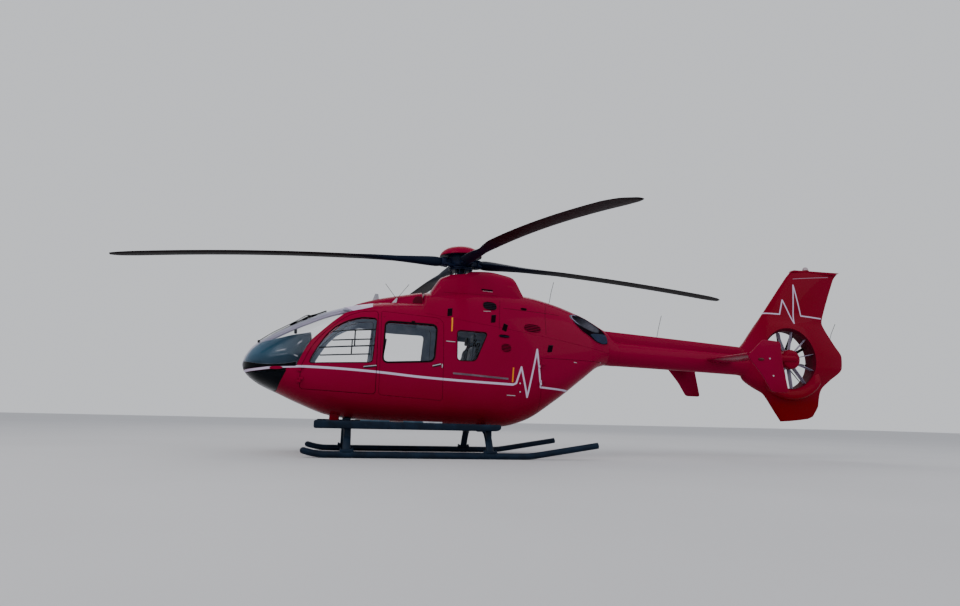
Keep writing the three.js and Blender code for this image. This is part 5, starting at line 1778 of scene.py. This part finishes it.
def seat_parts(x, y, half):
    """A crew seat facing forwards: pan, back and head rest in cloth, and the shell that holds them."""
    lean = Matrix.Translation((x + 0.22, y, FLOOR_Z + 0.42)) @ Matrix.Rotation(math.radians(8), 4, "Y")
    narrow = Matrix.Diagonal((1, half / CREW_HALF, 1, 1))
    base = stuffed("base", [(-0.27, 0.20), (-0.22, 0.22), (0.338, 0.43)], (2, 1),
                   ((1, -0.12), (1, 0.12), (0, -0.04)))
    back = stuffed("back", [(-0.03, 0.052), (-0.21, 0.21), (-0.02, 0.47)], (0, -1),
                   ((1, -0.12), (1, 0.12), (2, 0.14), (2, 0.30)))
    head = stuffed("head", [(-0.03, 0.032), (-0.12, 0.12), (0.50, 0.64)], (0, -1), reach=0.010)
    moved(base, Matrix.Translation((x, y, FLOOR_Z)) @ narrow)
    moved(back, lean @ narrow)
    moved(head, lean)
    shell = moved(block((0.05, 0.085), (-half + 0.01, half - 0.01), (-0.1, 0.50), 0.012, 3), lean)
    stalks = [moved(block((0.03, 0.05), around(s * 0.06, 0.01), (0.46, 0.56), 0.004), lean)
              for s in (-1, 1)]
    pan = block((x - 0.25, x + 0.24), (y - half + 0.02, y + half - 0.02),
                (FLOOR_Z + 0.27, FLOOR_Z + 0.34), 0.02, 3)
    legs = [block(around(x + dx, 0.02), around(y + dy, 0.02),
                  (FLOOR_Z, FLOOR_Z + 0.29), 0.006)
            for dx in (-0.18, 0.18) for dy in (-half + 0.06, half - 0.06)]
    return [base, back, head], joined(shell, *stalks, pan, *legs)


def build_seats():
    made = []
    spots = [("pilot_seat_left", -1.56, -0.37, 0.23), ("pilot_seat_right", -1.56, 0.37, 0.23),
             ("attendant_seat_port", -0.15, -0.40, 0.19), ("attendant_seat_middle", -0.15, 0.09, 0.19)]
    for name, x, y, half in spots:
        cloth, shell = seat_parts(x, y, half)
        node = name if name.startswith("pilot") else "attendant_seats"
        made.append(piece(f"{name}_frame", shell, "black_moulding", stands_for=(node,)))
        for part, label, fill in zip(cloth, ("base", "back", "head"), (0.7, 0.65, 0.8)):
            pad = piece(f"{name}_{label}", part, ["seat_cloth", "black_moulding"], crease=60)
            made.append(pad)
    return made


def build_stretcher():
    shape = stuffed("mattress", [(-1.07, 0.89), (0.34, 0.63), (1.043, 1.11)], (2, 1),
                    tuple((0, place) for place in (-0.72, -0.37, -0.02, 0.33, 0.64)), 0.013, 0.012)
    mat = piece("stretcher_mattress", shape, ["seat_cloth", "black_moulding"], crease=60)
    rails = [swept([(-1.06, y, 1.03), (0.0, y, 1.03), (0.88, y, 1.03)], 0.012, sides=12)
             for y in (0.345, 0.625)]
    cross = [swept([(x, 0.345, 1.03), (x, 0.5, 1.03), (x, 0.625, 1.03)], 0.010, sides=12)
             for x in (-0.87, -0.2, 0.3, 0.67)]
    legs = [block(around(x, 0.03), (0.38, 0.60), (FLOOR_Z, 1.03), 0.01, 2) for x in (-0.87, 0.67)]
    base = piece("stretcher_frame", joined(*rails, *cross, *legs), "bare_metal",
                 stands_for=("stretcher",))
    return [mat, base]


def build_floor_and_ceiling():
    def plate(xs, level, gap):
        """A sheet across the cabin between its walls, with its thickness below it."""

        def place(i, j):
            z = level(xs[j])
            return Vector((xs[j], (-side_y(xs[j], z) - gap) * (i / 6 - 1), z))

        bm = grid(12, len(xs) - 1, place)
        bmesh.ops.reverse_faces(bm, faces=bm.faces)
        return thickened(bm, 0.02)

    floor = plate([-2.36 + 0.1 * k for k in range(36)], lambda x: FLOOR_Z, 0.036)
    roof = plate([DECK_FRONT + 0.02 + 0.1 * k for k in range(18)], lambda x: deck_z(x) - 0.05, 0.03)
    return [piece("cabin_floor_plate", floor, "cabin_floor"),
            piece("cabin_ceiling", roof, "cabin_lining")]


def sunk(bm, face, share, depth):
    """Draws a face in and pushes it back, which leaves a frame with a recess."""
    for scale, push in ((share, 0.0), (1.0, depth), (0.985, 0.0)):
        middle, normal = face.calc_center_median(), face.normal.copy()
        made = bmesh.ops.extrude_face_region(bm, geom=[face])["geom"]
        new = next(f for f in made if isinstance(f, bmesh.types.BMFace))
        bmesh.ops.delete(bm, geom=[face], context="FACES_ONLY")
        for v in new.verts:
            v.co = middle + (v.co - middle) * scale - normal * push
        face = new
    return bm


def build_hood():
    hood = lofted(HOOD, 72, 0.05)
    back = max(hood.faces, key=lambda f: f.calc_center_median().x)
    sunk(hood, back, 0.93, 0.05)
    outline = [(-2.45, FLOOR_Z), (-2.64, 0.97), (-2.64, 1.21), (-2.36, 1.23), (-2.0, 1.0), (-1.95, FLOOR_Z)]
    stand = slab(rounded(outline, 0.03), -0.11, 0.11, 0.012, 3)
    # Pale strips on the hood: painted glints
    marks = [strip(line, tall, 0.004, rows=HOOD) for line, tall in (
        ([(-2.751, 1.460), (-2.69, 1.474), (-2.625, 1.486)], 0.012),
        ([(-2.462, 1.575), (-2.43, 1.596), (-2.405, 1.613)], 0.014),
        ([(-2.506, 1.409), (-2.48, 1.398), (-2.45, 1.386)], 0.012))]
    marks = pair_of_fittings("hood_glints", joined(*marks), "pale_trim")
    return [piece("instrument_hood", joined(hood, stand), "hood_moulding",
                  stands_for=("instrument_panel",)), *marks]


def build_instruments():
    """Screens with their bezels and knobs, radio boxes on the stand, a compass under the centre post."""
    bezels, glass, knobs = [], [], []
    for y in (-0.38, -0.16, 0.16, 0.38):
        bezels.append(block((-2.352, -2.337), around(y, 0.1), (1.38, 1.66), 0.006, 2))
        glass.append(block((-2.339, -2.334), around(y, 0.083), (1.42, 1.64), 0.002, 1))
        for k in range(5):
            knobs.append(lathe([(0, -2.34), (0.008, -2.34), (0.008, -2.326), (0.006, -2.324), (0, -2.324)],
                               14, "X", (0, y - 0.07 + 0.035 * k, 1.40)))
    bezels.append(block((-2.352, -2.337), (-0.05, 0.05), (1.34, 1.68), 0.006, 2))
    for k in range(3):
        knobs.append(lathe([(0, -2.34), (0.032, -2.34), (0.034, -2.334), (0.03, -2.332), (0, -2.332)], 28,
                           "X", (0, 0, 1.40 + 0.10 * k)))
    slope = Matrix.Translation((-2.19, 0, 1.122)) @ Matrix.Rotation(math.radians(32.6), 4, "Y")
    for k in range(4):
        bezels.append(moved(block((-0.15 + 0.085 * k, -0.075 + 0.085 * k), (-0.085, 0.085), (-0.012, 0.008),
                                  0.003), slope))
        knobs += [moved(lathe([(0, 0.006), (0.007, 0.006), (0.007, 0.018), (0, 0.018)], 12,
                              centre=(-0.112 + 0.085 * k, y, 0)), slope) for y in (-0.06, 0.06)]
    compass = [block((-2.555, -2.513), (-0.034, 0.034), (1.776, 1.842), 0.008, 3),
               swept([(-2.535, 0, 1.835), (-2.535, 0, 1.85), (-2.535, 0, 1.875)], 0.008, sides=12)]
    return [piece("instrument_bezels", joined(*bezels), "black_moulding"),
            piece("instrument_screens", joined(*glass), "screen_glass"),
            piece("instrument_knobs", joined(*knobs, *compass), "black_rubber")]


def build_centre_beam():
    """The pale beam under the centre post, from the nose to the brow."""
    path = [(x, 0, row_at(BODY, x)[2] - 0.05) for x in (-3.02 + 0.06 * k for k in range(25))]
    return piece("centre_beam", swept(path, 0.038, 0.032, 20, (0, 1, 0), 3.4), "white_lacquer")


def build_controls():
    """Sticks, levers and pedals for both seats."""
    parts = []
    for y in (-0.37, 0.37):
        stick = [(-1.98, y, FLOOR_Z), (-2.03, y, 0.95), (-2.0, y, 1.12), (-2.03, y, 1.24)]
        lever = [(-1.35, y - 0.27, FLOOR_Z + 0.05), (-1.50, y - 0.27, 0.98), (-1.72, y - 0.27, 1.10)]
        parts += [swept(smooth_path(stick, 0.03), 0.012, sides=12),
                  ball((-2.03, y, 1.25), (0.022, 0.02, 0.04), 16),
                  swept(smooth_path(lever, 0.03), 0.014, sides=12),
                  ball((-1.74, y - 0.27, 1.105), (0.05, 0.02, 0.02), 16)]
        for side in (-0.08, 0.08):
            foot = y + side
            parts += [moved(block((-0.012, 0.012), (-0.035, 0.035), (-0.07, 0.07), 0.008, 2),
                            Matrix.Translation((-2.33, foot, 0.95))
                            @ Matrix.Rotation(math.radians(-24), 4, "Y")),
                      swept([(-2.32, foot, 0.90), (-2.31, foot, 0.85), (-2.32, foot, FLOOR_Z)],
                            0.010, sides=10)]
    return piece("flight_controls", joined(*parts), "black_moulding")


# Fittings on the skin


SEAMS = [
    [(0.552, 2.384), (0.53, 2.25), (0.511, 2.122), (0.493, 1.895)],
    [(0.585, 2.247), (0.80, 2.237), (1.023, 2.226), (1.528, 2.201)],
    [(1.36, 2.40), (1.28, 2.20), (1.255, 1.86)],
]
SQUARES = [
    [(-0.288, 2.19), (-0.216, 2.20), (-0.229, 2.077), (-0.303, 2.067)],
    [(0.385, 2.119), (0.458, 2.129), (0.438, 2.007), (0.366, 1.997)],
    [(0.571, 1.998), (0.635, 1.97), (0.60, 1.865), (0.534, 1.896)],
    [(1.288, 1.694), (1.367, 1.695), (1.34, 1.592), (1.259, 1.583)],
]


def build_seams():
    lines = [strip(points, 0.005, 0.0016) for points in SEAMS]
    return pair_of_fittings("cowling_seams", joined(*lines), "black_rubber")


def vent(x0, x1, z0, z1, slats, power=2.6, turn=-0.06):
    """A louvred opening: a dark dish on the skin that paints the shade inside it, its rim, and the slats
    across it.
    """
    line = oval(x0, x1, z0, z1, turn, 32, power)
    dish = side_patch(line, 0.0012, 0.003, rows=BODY)
    rim = swept([side_point(x, z) + side_normal(x, z) * 0.001 for x, z in line + line[:1]], 0.005, 0.004, 8)
    bars = []
    for k in range(slats):
        share = (k + 1) / (slats + 1) * 2 - 1
        z = (z0 + z1) / 2 + share * (z1 - z0) / 2
        half = (x1 - x0) / 2 * (1 - abs(share) ** power) ** (1 / power) - 0.004
        middle = (x0 + x1) / 2
        ends = [(middle - half, z - turn * half), (middle, z), (middle + half, z + turn * half)]
        bars.append(strip(ends, (z1 - z0) / (slats + 1) * 0.42, 0.005, 0.002))
    return dish, rim, bars


def build_vents():
    made = []
    for name, where, slats, coat in (("engine_vent", (0.266, 0.486, 2.20, 2.349), 4, "slat_paint"),
                                     ("round_vent", (0.514, 0.674, 1.553, 1.682), 5, "red_lacquer"),
                                     ("slot_vent", (0.482, 0.653, 1.767, 1.822), 1, "hub_composite"),
                                     ("oil_cooler_vent", (0.893, 1.171, 1.883, 2.01), 4, "red_lacquer")):
        dish, rim, bars = vent(*where, slats)
        slot = "red_paint" if coat == "red_lacquer" else "black_plastic"
        made += pair_of_fittings(name, dish, "deep_opening")
        made += pair_of_fittings(f"{name}_slats", joined(*bars), coat, slot=slot)
        made += pair_of_fittings(f"{name}_rim", rim, "red_lacquer")
    # A dark patch on the fairing's flank ahead of the cowling: an intake, its darkness painted shade
    intake_shade = [(-0.81, 2.16), (-0.80, 2.32), (-0.755, 2.405), (-0.655, 2.41), (-0.652, 2.16)]
    intake_shade = side_patch(rounded(intake_shade, 0.03), 0.0015, 0.003, rows=FORWARD_FAIRING)
    # The slot in the mast fairing is a dark strip: painted shade
    slot = strip([(0.278, 2.562), (0.37, 2.558), (0.46, 2.553)], 0.026, 0.005, rows=MAST_FAIRING)
    made += pair_of_fittings("fairing_intake_shade", intake_shade, "shaded_red")
    made += pair_of_fittings("fairing_slot", slot, "deep_opening")
    # The flaps are dark patches: painted shade of the recesses behind them
    flaps = [side_patch(rounded(line, 0.012, 3), 0.0025, 0.005, 0.015) for line in SQUARES]
    flaps.append(side_patch(oval(0.875, 0.974, 2.237, 2.278, -0.05, 24, 3.0), 0.0025, 0.005, 0.015))
    hinges = [strip([a, ((a[0] + b[0]) / 2, (a[1] + b[1]) / 2), b], 0.008, 0.005, 0.001)
              for a, b, *_ in SQUARES]
    made += pair_of_fittings("dark_flaps", joined(*flaps), "deep_opening")
    made += pair_of_fittings("flap_hinges", joined(*hinges), "hub_composite", slot="black_plastic")
    return made


def build_marks():
    """Amber strips, pale bars and studs, and the red cover over the stripe at the nose."""
    amber = [side_patch([(x - 0.010, top), (x + 0.010, top), (x - 0.004, low), (x - 0.024, low)],
                        0.0015, 0.003)
             for x, top, low in ((-0.225, 2.049, 1.834), (0.705, 1.326, 1.109))]
    pale = [strip([(-0.326, 1.681), (-0.257, 1.677), (-0.188, 1.673)], 0.012, 0.006),
            strip([(0.605, 0.914), (0.67, 0.9115), (0.736, 0.909)], 0.012, 0.006),
            strip([(0.264, 2.181), (0.32, 2.183), (0.378, 2.185)], 0.009, 0.004),
            strip([(1.726, 1.457), (1.753, 1.453), (1.78, 1.45)], 0.010, 0.004),
            strip([(0.30, 2.540), (0.38, 2.536), (0.46, 2.532)], 0.006, 0.004, rows=MAST_FAIRING),
            stud(0.811, 1.094, 0.012, 0.006), stud(0.813, 0.969, 0.012, 0.006),
            stud(2.286, 1.489, 0.008, 0.004)]
    pale += [moved(lathe([(0, 0), (0.014, 0), (0.012, 0.004), (0, 0.005)], 20, "Y"),
                   Matrix.Translation((x, PLATE_SIDES[0], z)) @ Matrix.Rotation(math.pi, 4, "Z"))
             for x, z in ((4.631, 1.569), (4.675, 1.306))]
    cover = side_patch(oval(-2.83, -2.645, 1.193, 1.234, 0.02, 28, 2.6), 0.004, 0.007, 0.012)
    foot = strip([(-0.325, 2.484), (0.12, 2.484), (0.58, 2.476)], 0.008, 0.004, rows=MAST_FAIRING)
    latch = moved(block((-0.025, 0.025), (-0.012, 0.012), (-0.002, 0.012), 0.003), side_frame(-0.817, 1.951))
    made = pair_of_fittings("amber_strips", joined(*amber), "amber_mark")
    made += pair_of_fittings("fairing_foot", foot, "red_lacquer")
    made += pair_of_fittings("window_latch", latch, "black_rubber")
    made += pair_of_fittings("pale_bars", joined(*pale), "pale_trim")
    return made + pair_of_fittings("nose_cover", cover, "plain_red")


def build_handles():
    made = []
    front = [(-1.514, 1.259), (-1.43, 1.270), (-1.342, 1.281)]
    rear = [(-0.519, 1.306), (-0.46, 1.321), (-0.405, 1.335)]
    latch = [(-0.379, 1.339), (-0.380, 1.31), (-0.382, 1.282)]
    for name, line, bodies in (("cockpit_handle", front, DOOR_BODIES), ("sliding_handle", rear, AIRFRAME)):
        (x0, z0), (x, z), (x1, z1) = line
        turn, half = math.atan2(z1 - z0, x1 - x0), (x1 - x0) / 2 + 0.008
        dish = side_patch(oval(x - half, x + half, z - 0.024, z + 0.016, turn, 28, 3.2), 0.0008, 0.003, 0.012)
        grip = strip(line, 0.014, 0.006, 0.011, sides=12)
        feet = [moved(block((-0.007, 0.007), (-0.006, 0.006), (-0.002, 0.012), 0.002), side_frame(x, z))
                for x, z in ((x0, z0), (x1, z1))]
        made += pair_of_fittings(name, joined(grip, *feet), "pale_trim", bodies)
        made += pair_of_fittings(f"{name}_dish", dish, "black_moulding", bodies)
    lever = [strip(latch, 0.012, 0.006, 0.004), stud(-0.38, 1.31, 0.010, 0.009)]
    made += pair_of_fittings("sliding_latch", joined(*lever), "pale_trim")
    rail = [(-0.217, 1.208), (0.056, 1.193), (0.374, 1.171), (0.625, 1.155)]
    track = [strip([(x, z + dz) for x, z in rail], 0.007, 0.006, 0.0, sides=10) for dz in (-0.010, 0.010)]
    track.append(strip(rail, 0.016, 0.002, 0.0, sides=10))
    made += pair_of_fittings("slide_rail", joined(*track), "rail_metal")
    hinges = [stud(x, z, 0.016, 0.010) for x, z in ((-1.245, 2.02), (-0.46, 1.965))]
    return made + pair_of_fittings("sliding_door_rollers", joined(*hinges), "red_lacquer")


def build_window_bars():
    """Slim rails inside the cockpit doors' windows."""
    lines = ([(-1.985, 1.782), (-1.64, 1.808), (-1.336, 1.828)],
             [(-2.172, 1.525), (-1.76, 1.552), (-1.357, 1.578)],
             [(-1.66, 1.798), (-1.661, 1.68), (-1.662, 1.563)])
    bars = [swept(over_skin(line, -0.044, 0.05), 0.011, sides=10) for line in lines]
    return pair_of_fittings("cockpit_window_bars", joined(*bars), "black_moulding", DOOR_BODIES)


def over_top(x, y, lift):
    return Vector((x, y, pod_top(x, y) + lift))


def build_wipers():
    """Two wipers beside the centre post: spindle, arm, holder and blade."""
    parts = []
    rise = ((-3.06, 0.012), (-2.92, 0.016), (-2.84, 0.022), (-2.56, 0.034), (-2.40, 0.060), (-2.345, 0.050))
    for y in (-0.08, 0.08):
        arm = [over_top(x, y, lift) for x, lift in rise]
        blade = [over_top(-2.62 + 0.088 * k, y, 0.018) for k in range(7)]
        parts += [lathe([(0, -0.02), (0.018, -0.02), (0.018, 0.012), (0.012, 0.018), (0, 0.018)], 18,
                        centre=over_top(-3.055, y, 0.006)),
                  swept(smooth_path(arm, 0.04), lambda t: 0.010 - 0.005 * min(t * 3, 1), 0.006,
                        10, (0, 1, 0)),
                  swept(blade, 0.004, 0.010, 10, (0, 1, 0)),
                  ball(over_top(-2.348, y, 0.042), (0.022, 0.010, 0.012), 14),
                  swept([over_top(-2.47, y, 0.022), over_top(-2.348, y, 0.040), over_top(-2.22, y, 0.022)],
                        0.005, sides=8)]
    return piece("wipers", joined(*parts), "black_rubber")


def mast_blade(foot, tip, long, short, thick=0.012):
    """A flat tapered blade antenna."""
    path = [foot, (Vector(foot) + Vector(tip)) / 2, tip]
    return swept(path, lambda t: (long + (short - long) * t) / 2, thick / 2, 16, (1, 0, 0), 2.6)


def build_antennas():
    """Whips on the cowling, the boom and the fin, two rods over the cabin, and two blades."""
    foot = [(0, -0.02), (0.03, -0.02), (0.03, 0.006), (0.014, 0.018), (0, 0.018)]
    dark = [swept([(x, 0, z) for x, z in line], 0.004, sides=10)
            for line in ([(1.50, 2.43), (1.515, 2.50), (1.545, 2.66), (1.59, 2.83)],
                         [(3.42, 1.96), (3.46, 2.14), (3.52, 2.36)],
                         [(6.78, 2.06), (6.83, 2.20), (6.925, 2.38)])]
    dark += [lathe(foot, 20, centre=(x, 0, z)) for x, z in ((1.50, 2.43), (3.42, 1.965))]
    dark += [rod((-1.045, -0.30, 2.345), (x, -0.30, z), 0.0035)
             for x, z in ((-1.225, 2.575), (-0.862, 2.584))]
    pale = [mast_blade((-1.115, -0.30, 2.20), (-1.04, -0.30, 2.36), 0.11, 0.018),
            mast_blade((-1.345, 0.0, 2.33), (-1.335, 0.0, 2.46), 0.12, 0.05, 0.02)]
    return [piece("whip_antennas", joined(*dark), "black_rubber"),
            piece("blade_antennas", joined(*pale), "pale_trim")]


def build_lamps():
    """Beacon on the fin, position lamps on the end plates, landing lamp under the belly."""
    foot = lathe([(0, 3.312), (0.060, 3.312), (0.060, 3.330), (0.056, 3.334), (0, 3.334)], 32,
                 centre=(6.39, 0, 0))
    dome = [(0, 3.330), (0.050, 3.330), (0.051, 3.345), (0.048, 3.366), (0.037, 3.386),
            (0.018, 3.397), (0, 3.4)]
    beacon = lathe(dome, 32, centre=(6.39, 0, 0))
    made = [piece("beacon_lens", beacon, "pale_lens"), piece("beacon_foot", foot, "plain_red")]
    for side, lens, y in (("left", "red_lens", -1.3123), ("right", "green_lens", 1.3123)):
        made.append(piece(f"position_lens_{side}", ball((4.478, y, 1.552), (0.055, 0.010, 0.022), 20), lens))
    case = block((-1.955, -1.815), (-0.42, -0.26), (0.492, 0.60), 0.018, 3)
    front = moved(lathe([(0, 0), (0.042, 0), (0.046, 0.006), (0.046, 0.014), (0.04, 0.016), (0.02, 0.010),
                         (0, 0.008)], 28, "X"),
                  Matrix.Translation((-1.944, -0.34, 0.54)) @ Matrix.Rotation(math.pi, 4, "Z"))
    made.append(piece("landing_lamp_case", case, "plain_red"))
    made.append(piece("landing_lamp_glass", front, "bare_metal"))
    return made


# Operators: one for each group of pieces


class HELI_OT_fuselage(bpy.types.Operator):
    """Builds the fuselage shell with its centre post, brow and hinge knuckles"""

    bl_idname = "helicopter.fuselage"
    bl_label = "Fuselage"

    def execute(self, context):
        return run(self.bl_label, (build_shell, build_fixed_knuckles, build_floor_and_ceiling))


class HELI_OT_glazing(bpy.types.Operator):
    """Builds the windshields, the chin windows and the cabin windows with their seals"""

    bl_idname = "helicopter.glazing"
    bl_label = "Glazing"

    def execute(self, context):
        return run(self.bl_label, (build_windshield, build_chin_windows, build_windows))


class HELI_OT_doors(bpy.types.Operator):
    """Builds the cockpit, sliding and clamshell doors"""

    bl_idname = "helicopter.doors"
    bl_label = "Doors"

    def execute(self, context):
        return run(self.bl_label,
                   (build_cockpit_doors, build_sliding_doors, build_cargo_doors, build_door_seals))


class HELI_OT_upper_deck(bpy.types.Operator):
    """Builds the cowling, the fairings, the exhausts and the machinery under them"""

    bl_idname = "helicopter.upper_deck"
    bl_label = "Upper deck"

    def execute(self, context):
        return run(self.bl_label, (build_cowling, build_mast_fairing, build_forward_fairing, build_exhausts,
                                   build_machinery))


class HELI_OT_tail(bpy.types.Operator):
    """Builds the boom, the stabilizer, the fin with its shroud and the tail fan"""

    bl_idname = "helicopter.tail"
    bl_label = "Tail"

    def execute(self, context):
        return run(self.bl_label, (build_boom, build_spine, build_stabilizer, build_end_plates, build_fin,
                                   build_fan_stator, build_fan_rotor))


class HELI_OT_rotor(bpy.types.Operator):
    """Builds the main rotor: blades, hub, cap and swashplate"""

    bl_idname = "helicopter.rotor"
    bl_label = "Main rotor"

    def execute(self, context):
        return run(self.bl_label, (build_blades, build_hub, build_cuffs, build_cap, build_swashplate))


class HELI_OT_gear(bpy.types.Operator):
    """Builds the skids, the cross tubes and the steps"""

    bl_idname = "helicopter.gear"
    bl_label = "Landing gear"

    def execute(self, context):
        return run(self.bl_label, (build_skids, build_cross_tubes, build_steps))


class HELI_OT_cabin(bpy.types.Operator):
    """Builds the seats, the stretcher, the instruments and the controls"""

    bl_idname = "helicopter.cabin"
    bl_label = "Cabin"

    def execute(self, context):
        return run(self.bl_label, (build_seats, build_stretcher, build_hood, build_instruments,
                                   build_centre_beam, build_controls))


class HELI_OT_fittings(bpy.types.Operator):
    """Builds the vents, seams, handles, wipers, antennas and lamps"""

    bl_idname = "helicopter.fittings"
    bl_label = "Fittings"

    def execute(self, context):
        return run(self.bl_label, (build_seams, build_vents, build_marks, build_handles, build_window_bars,
                                   build_wipers, build_antennas, build_lamps))


class HELI_OT_stage(bpy.types.Operator):
    """Sets the pale floor, the soft lights and the camera"""

    bl_idname = "helicopter.stage"
    bl_label = "Stage"

    def execute(self, context):
        return run(self.bl_label, (build_floor, build_lights, build_camera))


def build_floor():
    bm = bmesh.new()
    bmesh.ops.create_grid(bm, x_segments=8, y_segments=8, size=bpy.context.scene.heli_stage.floor / 2)
    floor = placed("studio_floor", mesh_of("studio_floor", bm))
    floor.data.materials.append(material("floor_paint"))
    return floor


def build_lights():
    power = bpy.context.scene.heli_stage.key
    lamps = (
        ("key_light", (-10, -8, 12), (0, 0, 1.3), power, (1.0, 0.97, 0.93)),
        ("fill_light", (11, -9, 10), (1, 0, 1.3), power * 0.5, (0.93, 0.96, 1.0)),
        ("back_light", (2, 14, 14), (0, 0, 1.5), power * 0.6, (1.0, 0.95, 0.9)),
    )
    for name, place, target, watts, color in lamps:
        light = bpy.data.lights.new(name, "AREA")
        light.shape, light.size, light.energy, light.color = "SQUARE", 11.0, watts, color
        lamp = placed(name, light)
        lamp.location = place
        lamp.rotation_euler = (Vector(target) - Vector(place)).to_track_quat("-Z", "Y").to_euler()
    world = bpy.data.worlds.new("studio")
    world.use_nodes = True
    backdrop = world.node_tree.nodes["Background"]
    backdrop.inputs[0].default_value = (0.82, 0.84, 0.88, 1)
    backdrop.inputs[1].default_value = 0.9
    bpy.context.scene.world = world
    return world


def build_camera():
    width, height = CAMERA["size"]
    yaw, pitch, roll = CAMERA["yaw"], CAMERA["pitch"], CAMERA["roll"]
    forward = Vector((math.sin(yaw) * math.cos(pitch), math.cos(yaw) * math.cos(pitch), math.sin(pitch)))
    right = Vector((math.cos(yaw), -math.sin(yaw), 0))
    up = right.cross(forward)
    right, up = right * math.cos(roll) + up * math.sin(roll), up * math.cos(roll) - right * math.sin(roll)
    lens = bpy.data.cameras.new("photo_camera")
    lens.sensor_fit, lens.sensor_width = "HORIZONTAL", 36.0
    lens.lens = CAMERA["focal"] * 36.0 / width
    lens.shift_x = (width / 2 - CAMERA["axis"][0]) / width
    lens.shift_y = (CAMERA["axis"][1] - height / 2) / width
    lens.clip_end = 500.0
    camera = placed("photo_camera", lens)
    axes = Matrix((right, up, -forward)).transposed().to_4x4()
    camera.matrix_world = HOME @ Matrix.Translation(CAMERA["place"]) @ axes
    bpy.context.scene.camera = camera
    return camera


class HELI_PT_sidebar(bpy.types.Panel):
    """Lists the builders of the helicopter and what a user would change"""

    bl_label = "Helicopter"
    bl_idname = "HELI_PT_sidebar"
    bl_space_type = "VIEW_3D"
    bl_region_type = "UI"
    bl_category = "Helicopter"

    def draw(self, context):
        column = self.layout.column()
        for group in (context.scene.heli_paint, context.scene.heli_glass, context.scene.heli_stage):
            for name in group.__annotations__:
                column.prop(group, name)
        for operator in OPERATORS:
            column.operator(operator.bl_idname)


GROUPS = {"heli_paint": HELI_PG_paint, "heli_glass": HELI_PG_glass, "heli_stage": HELI_PG_stage}
OPERATORS = (
    HELI_OT_stage,
    HELI_OT_fuselage,
    HELI_OT_glazing,
    HELI_OT_doors,
    HELI_OT_upper_deck,
    HELI_OT_tail,
    HELI_OT_rotor,
    HELI_OT_gear,
    HELI_OT_cabin,
    HELI_OT_fittings,
)


def register():
    for cls in (*GROUPS.values(), *OPERATORS, HELI_PT_sidebar):
        bpy.utils.register_class(cls)
    for name, group in GROUPS.items():
        setattr(bpy.types.Scene, name, bpy.props.PointerProperty(type=group))


def unregister():
    for name in GROUPS:
        delattr(bpy.types.Scene, name)
    for cls in (HELI_PT_sidebar, *reversed(OPERATORS), *reversed(tuple(GROUPS.values()))):
        bpy.utils.unregister_class(cls)


def main():
    register()
    for operator in OPERATORS:
        group, name = operator.bl_idname.split(".")
        getattr(getattr(bpy.ops, group), name)()


if __name__ == "__main__":
    main()
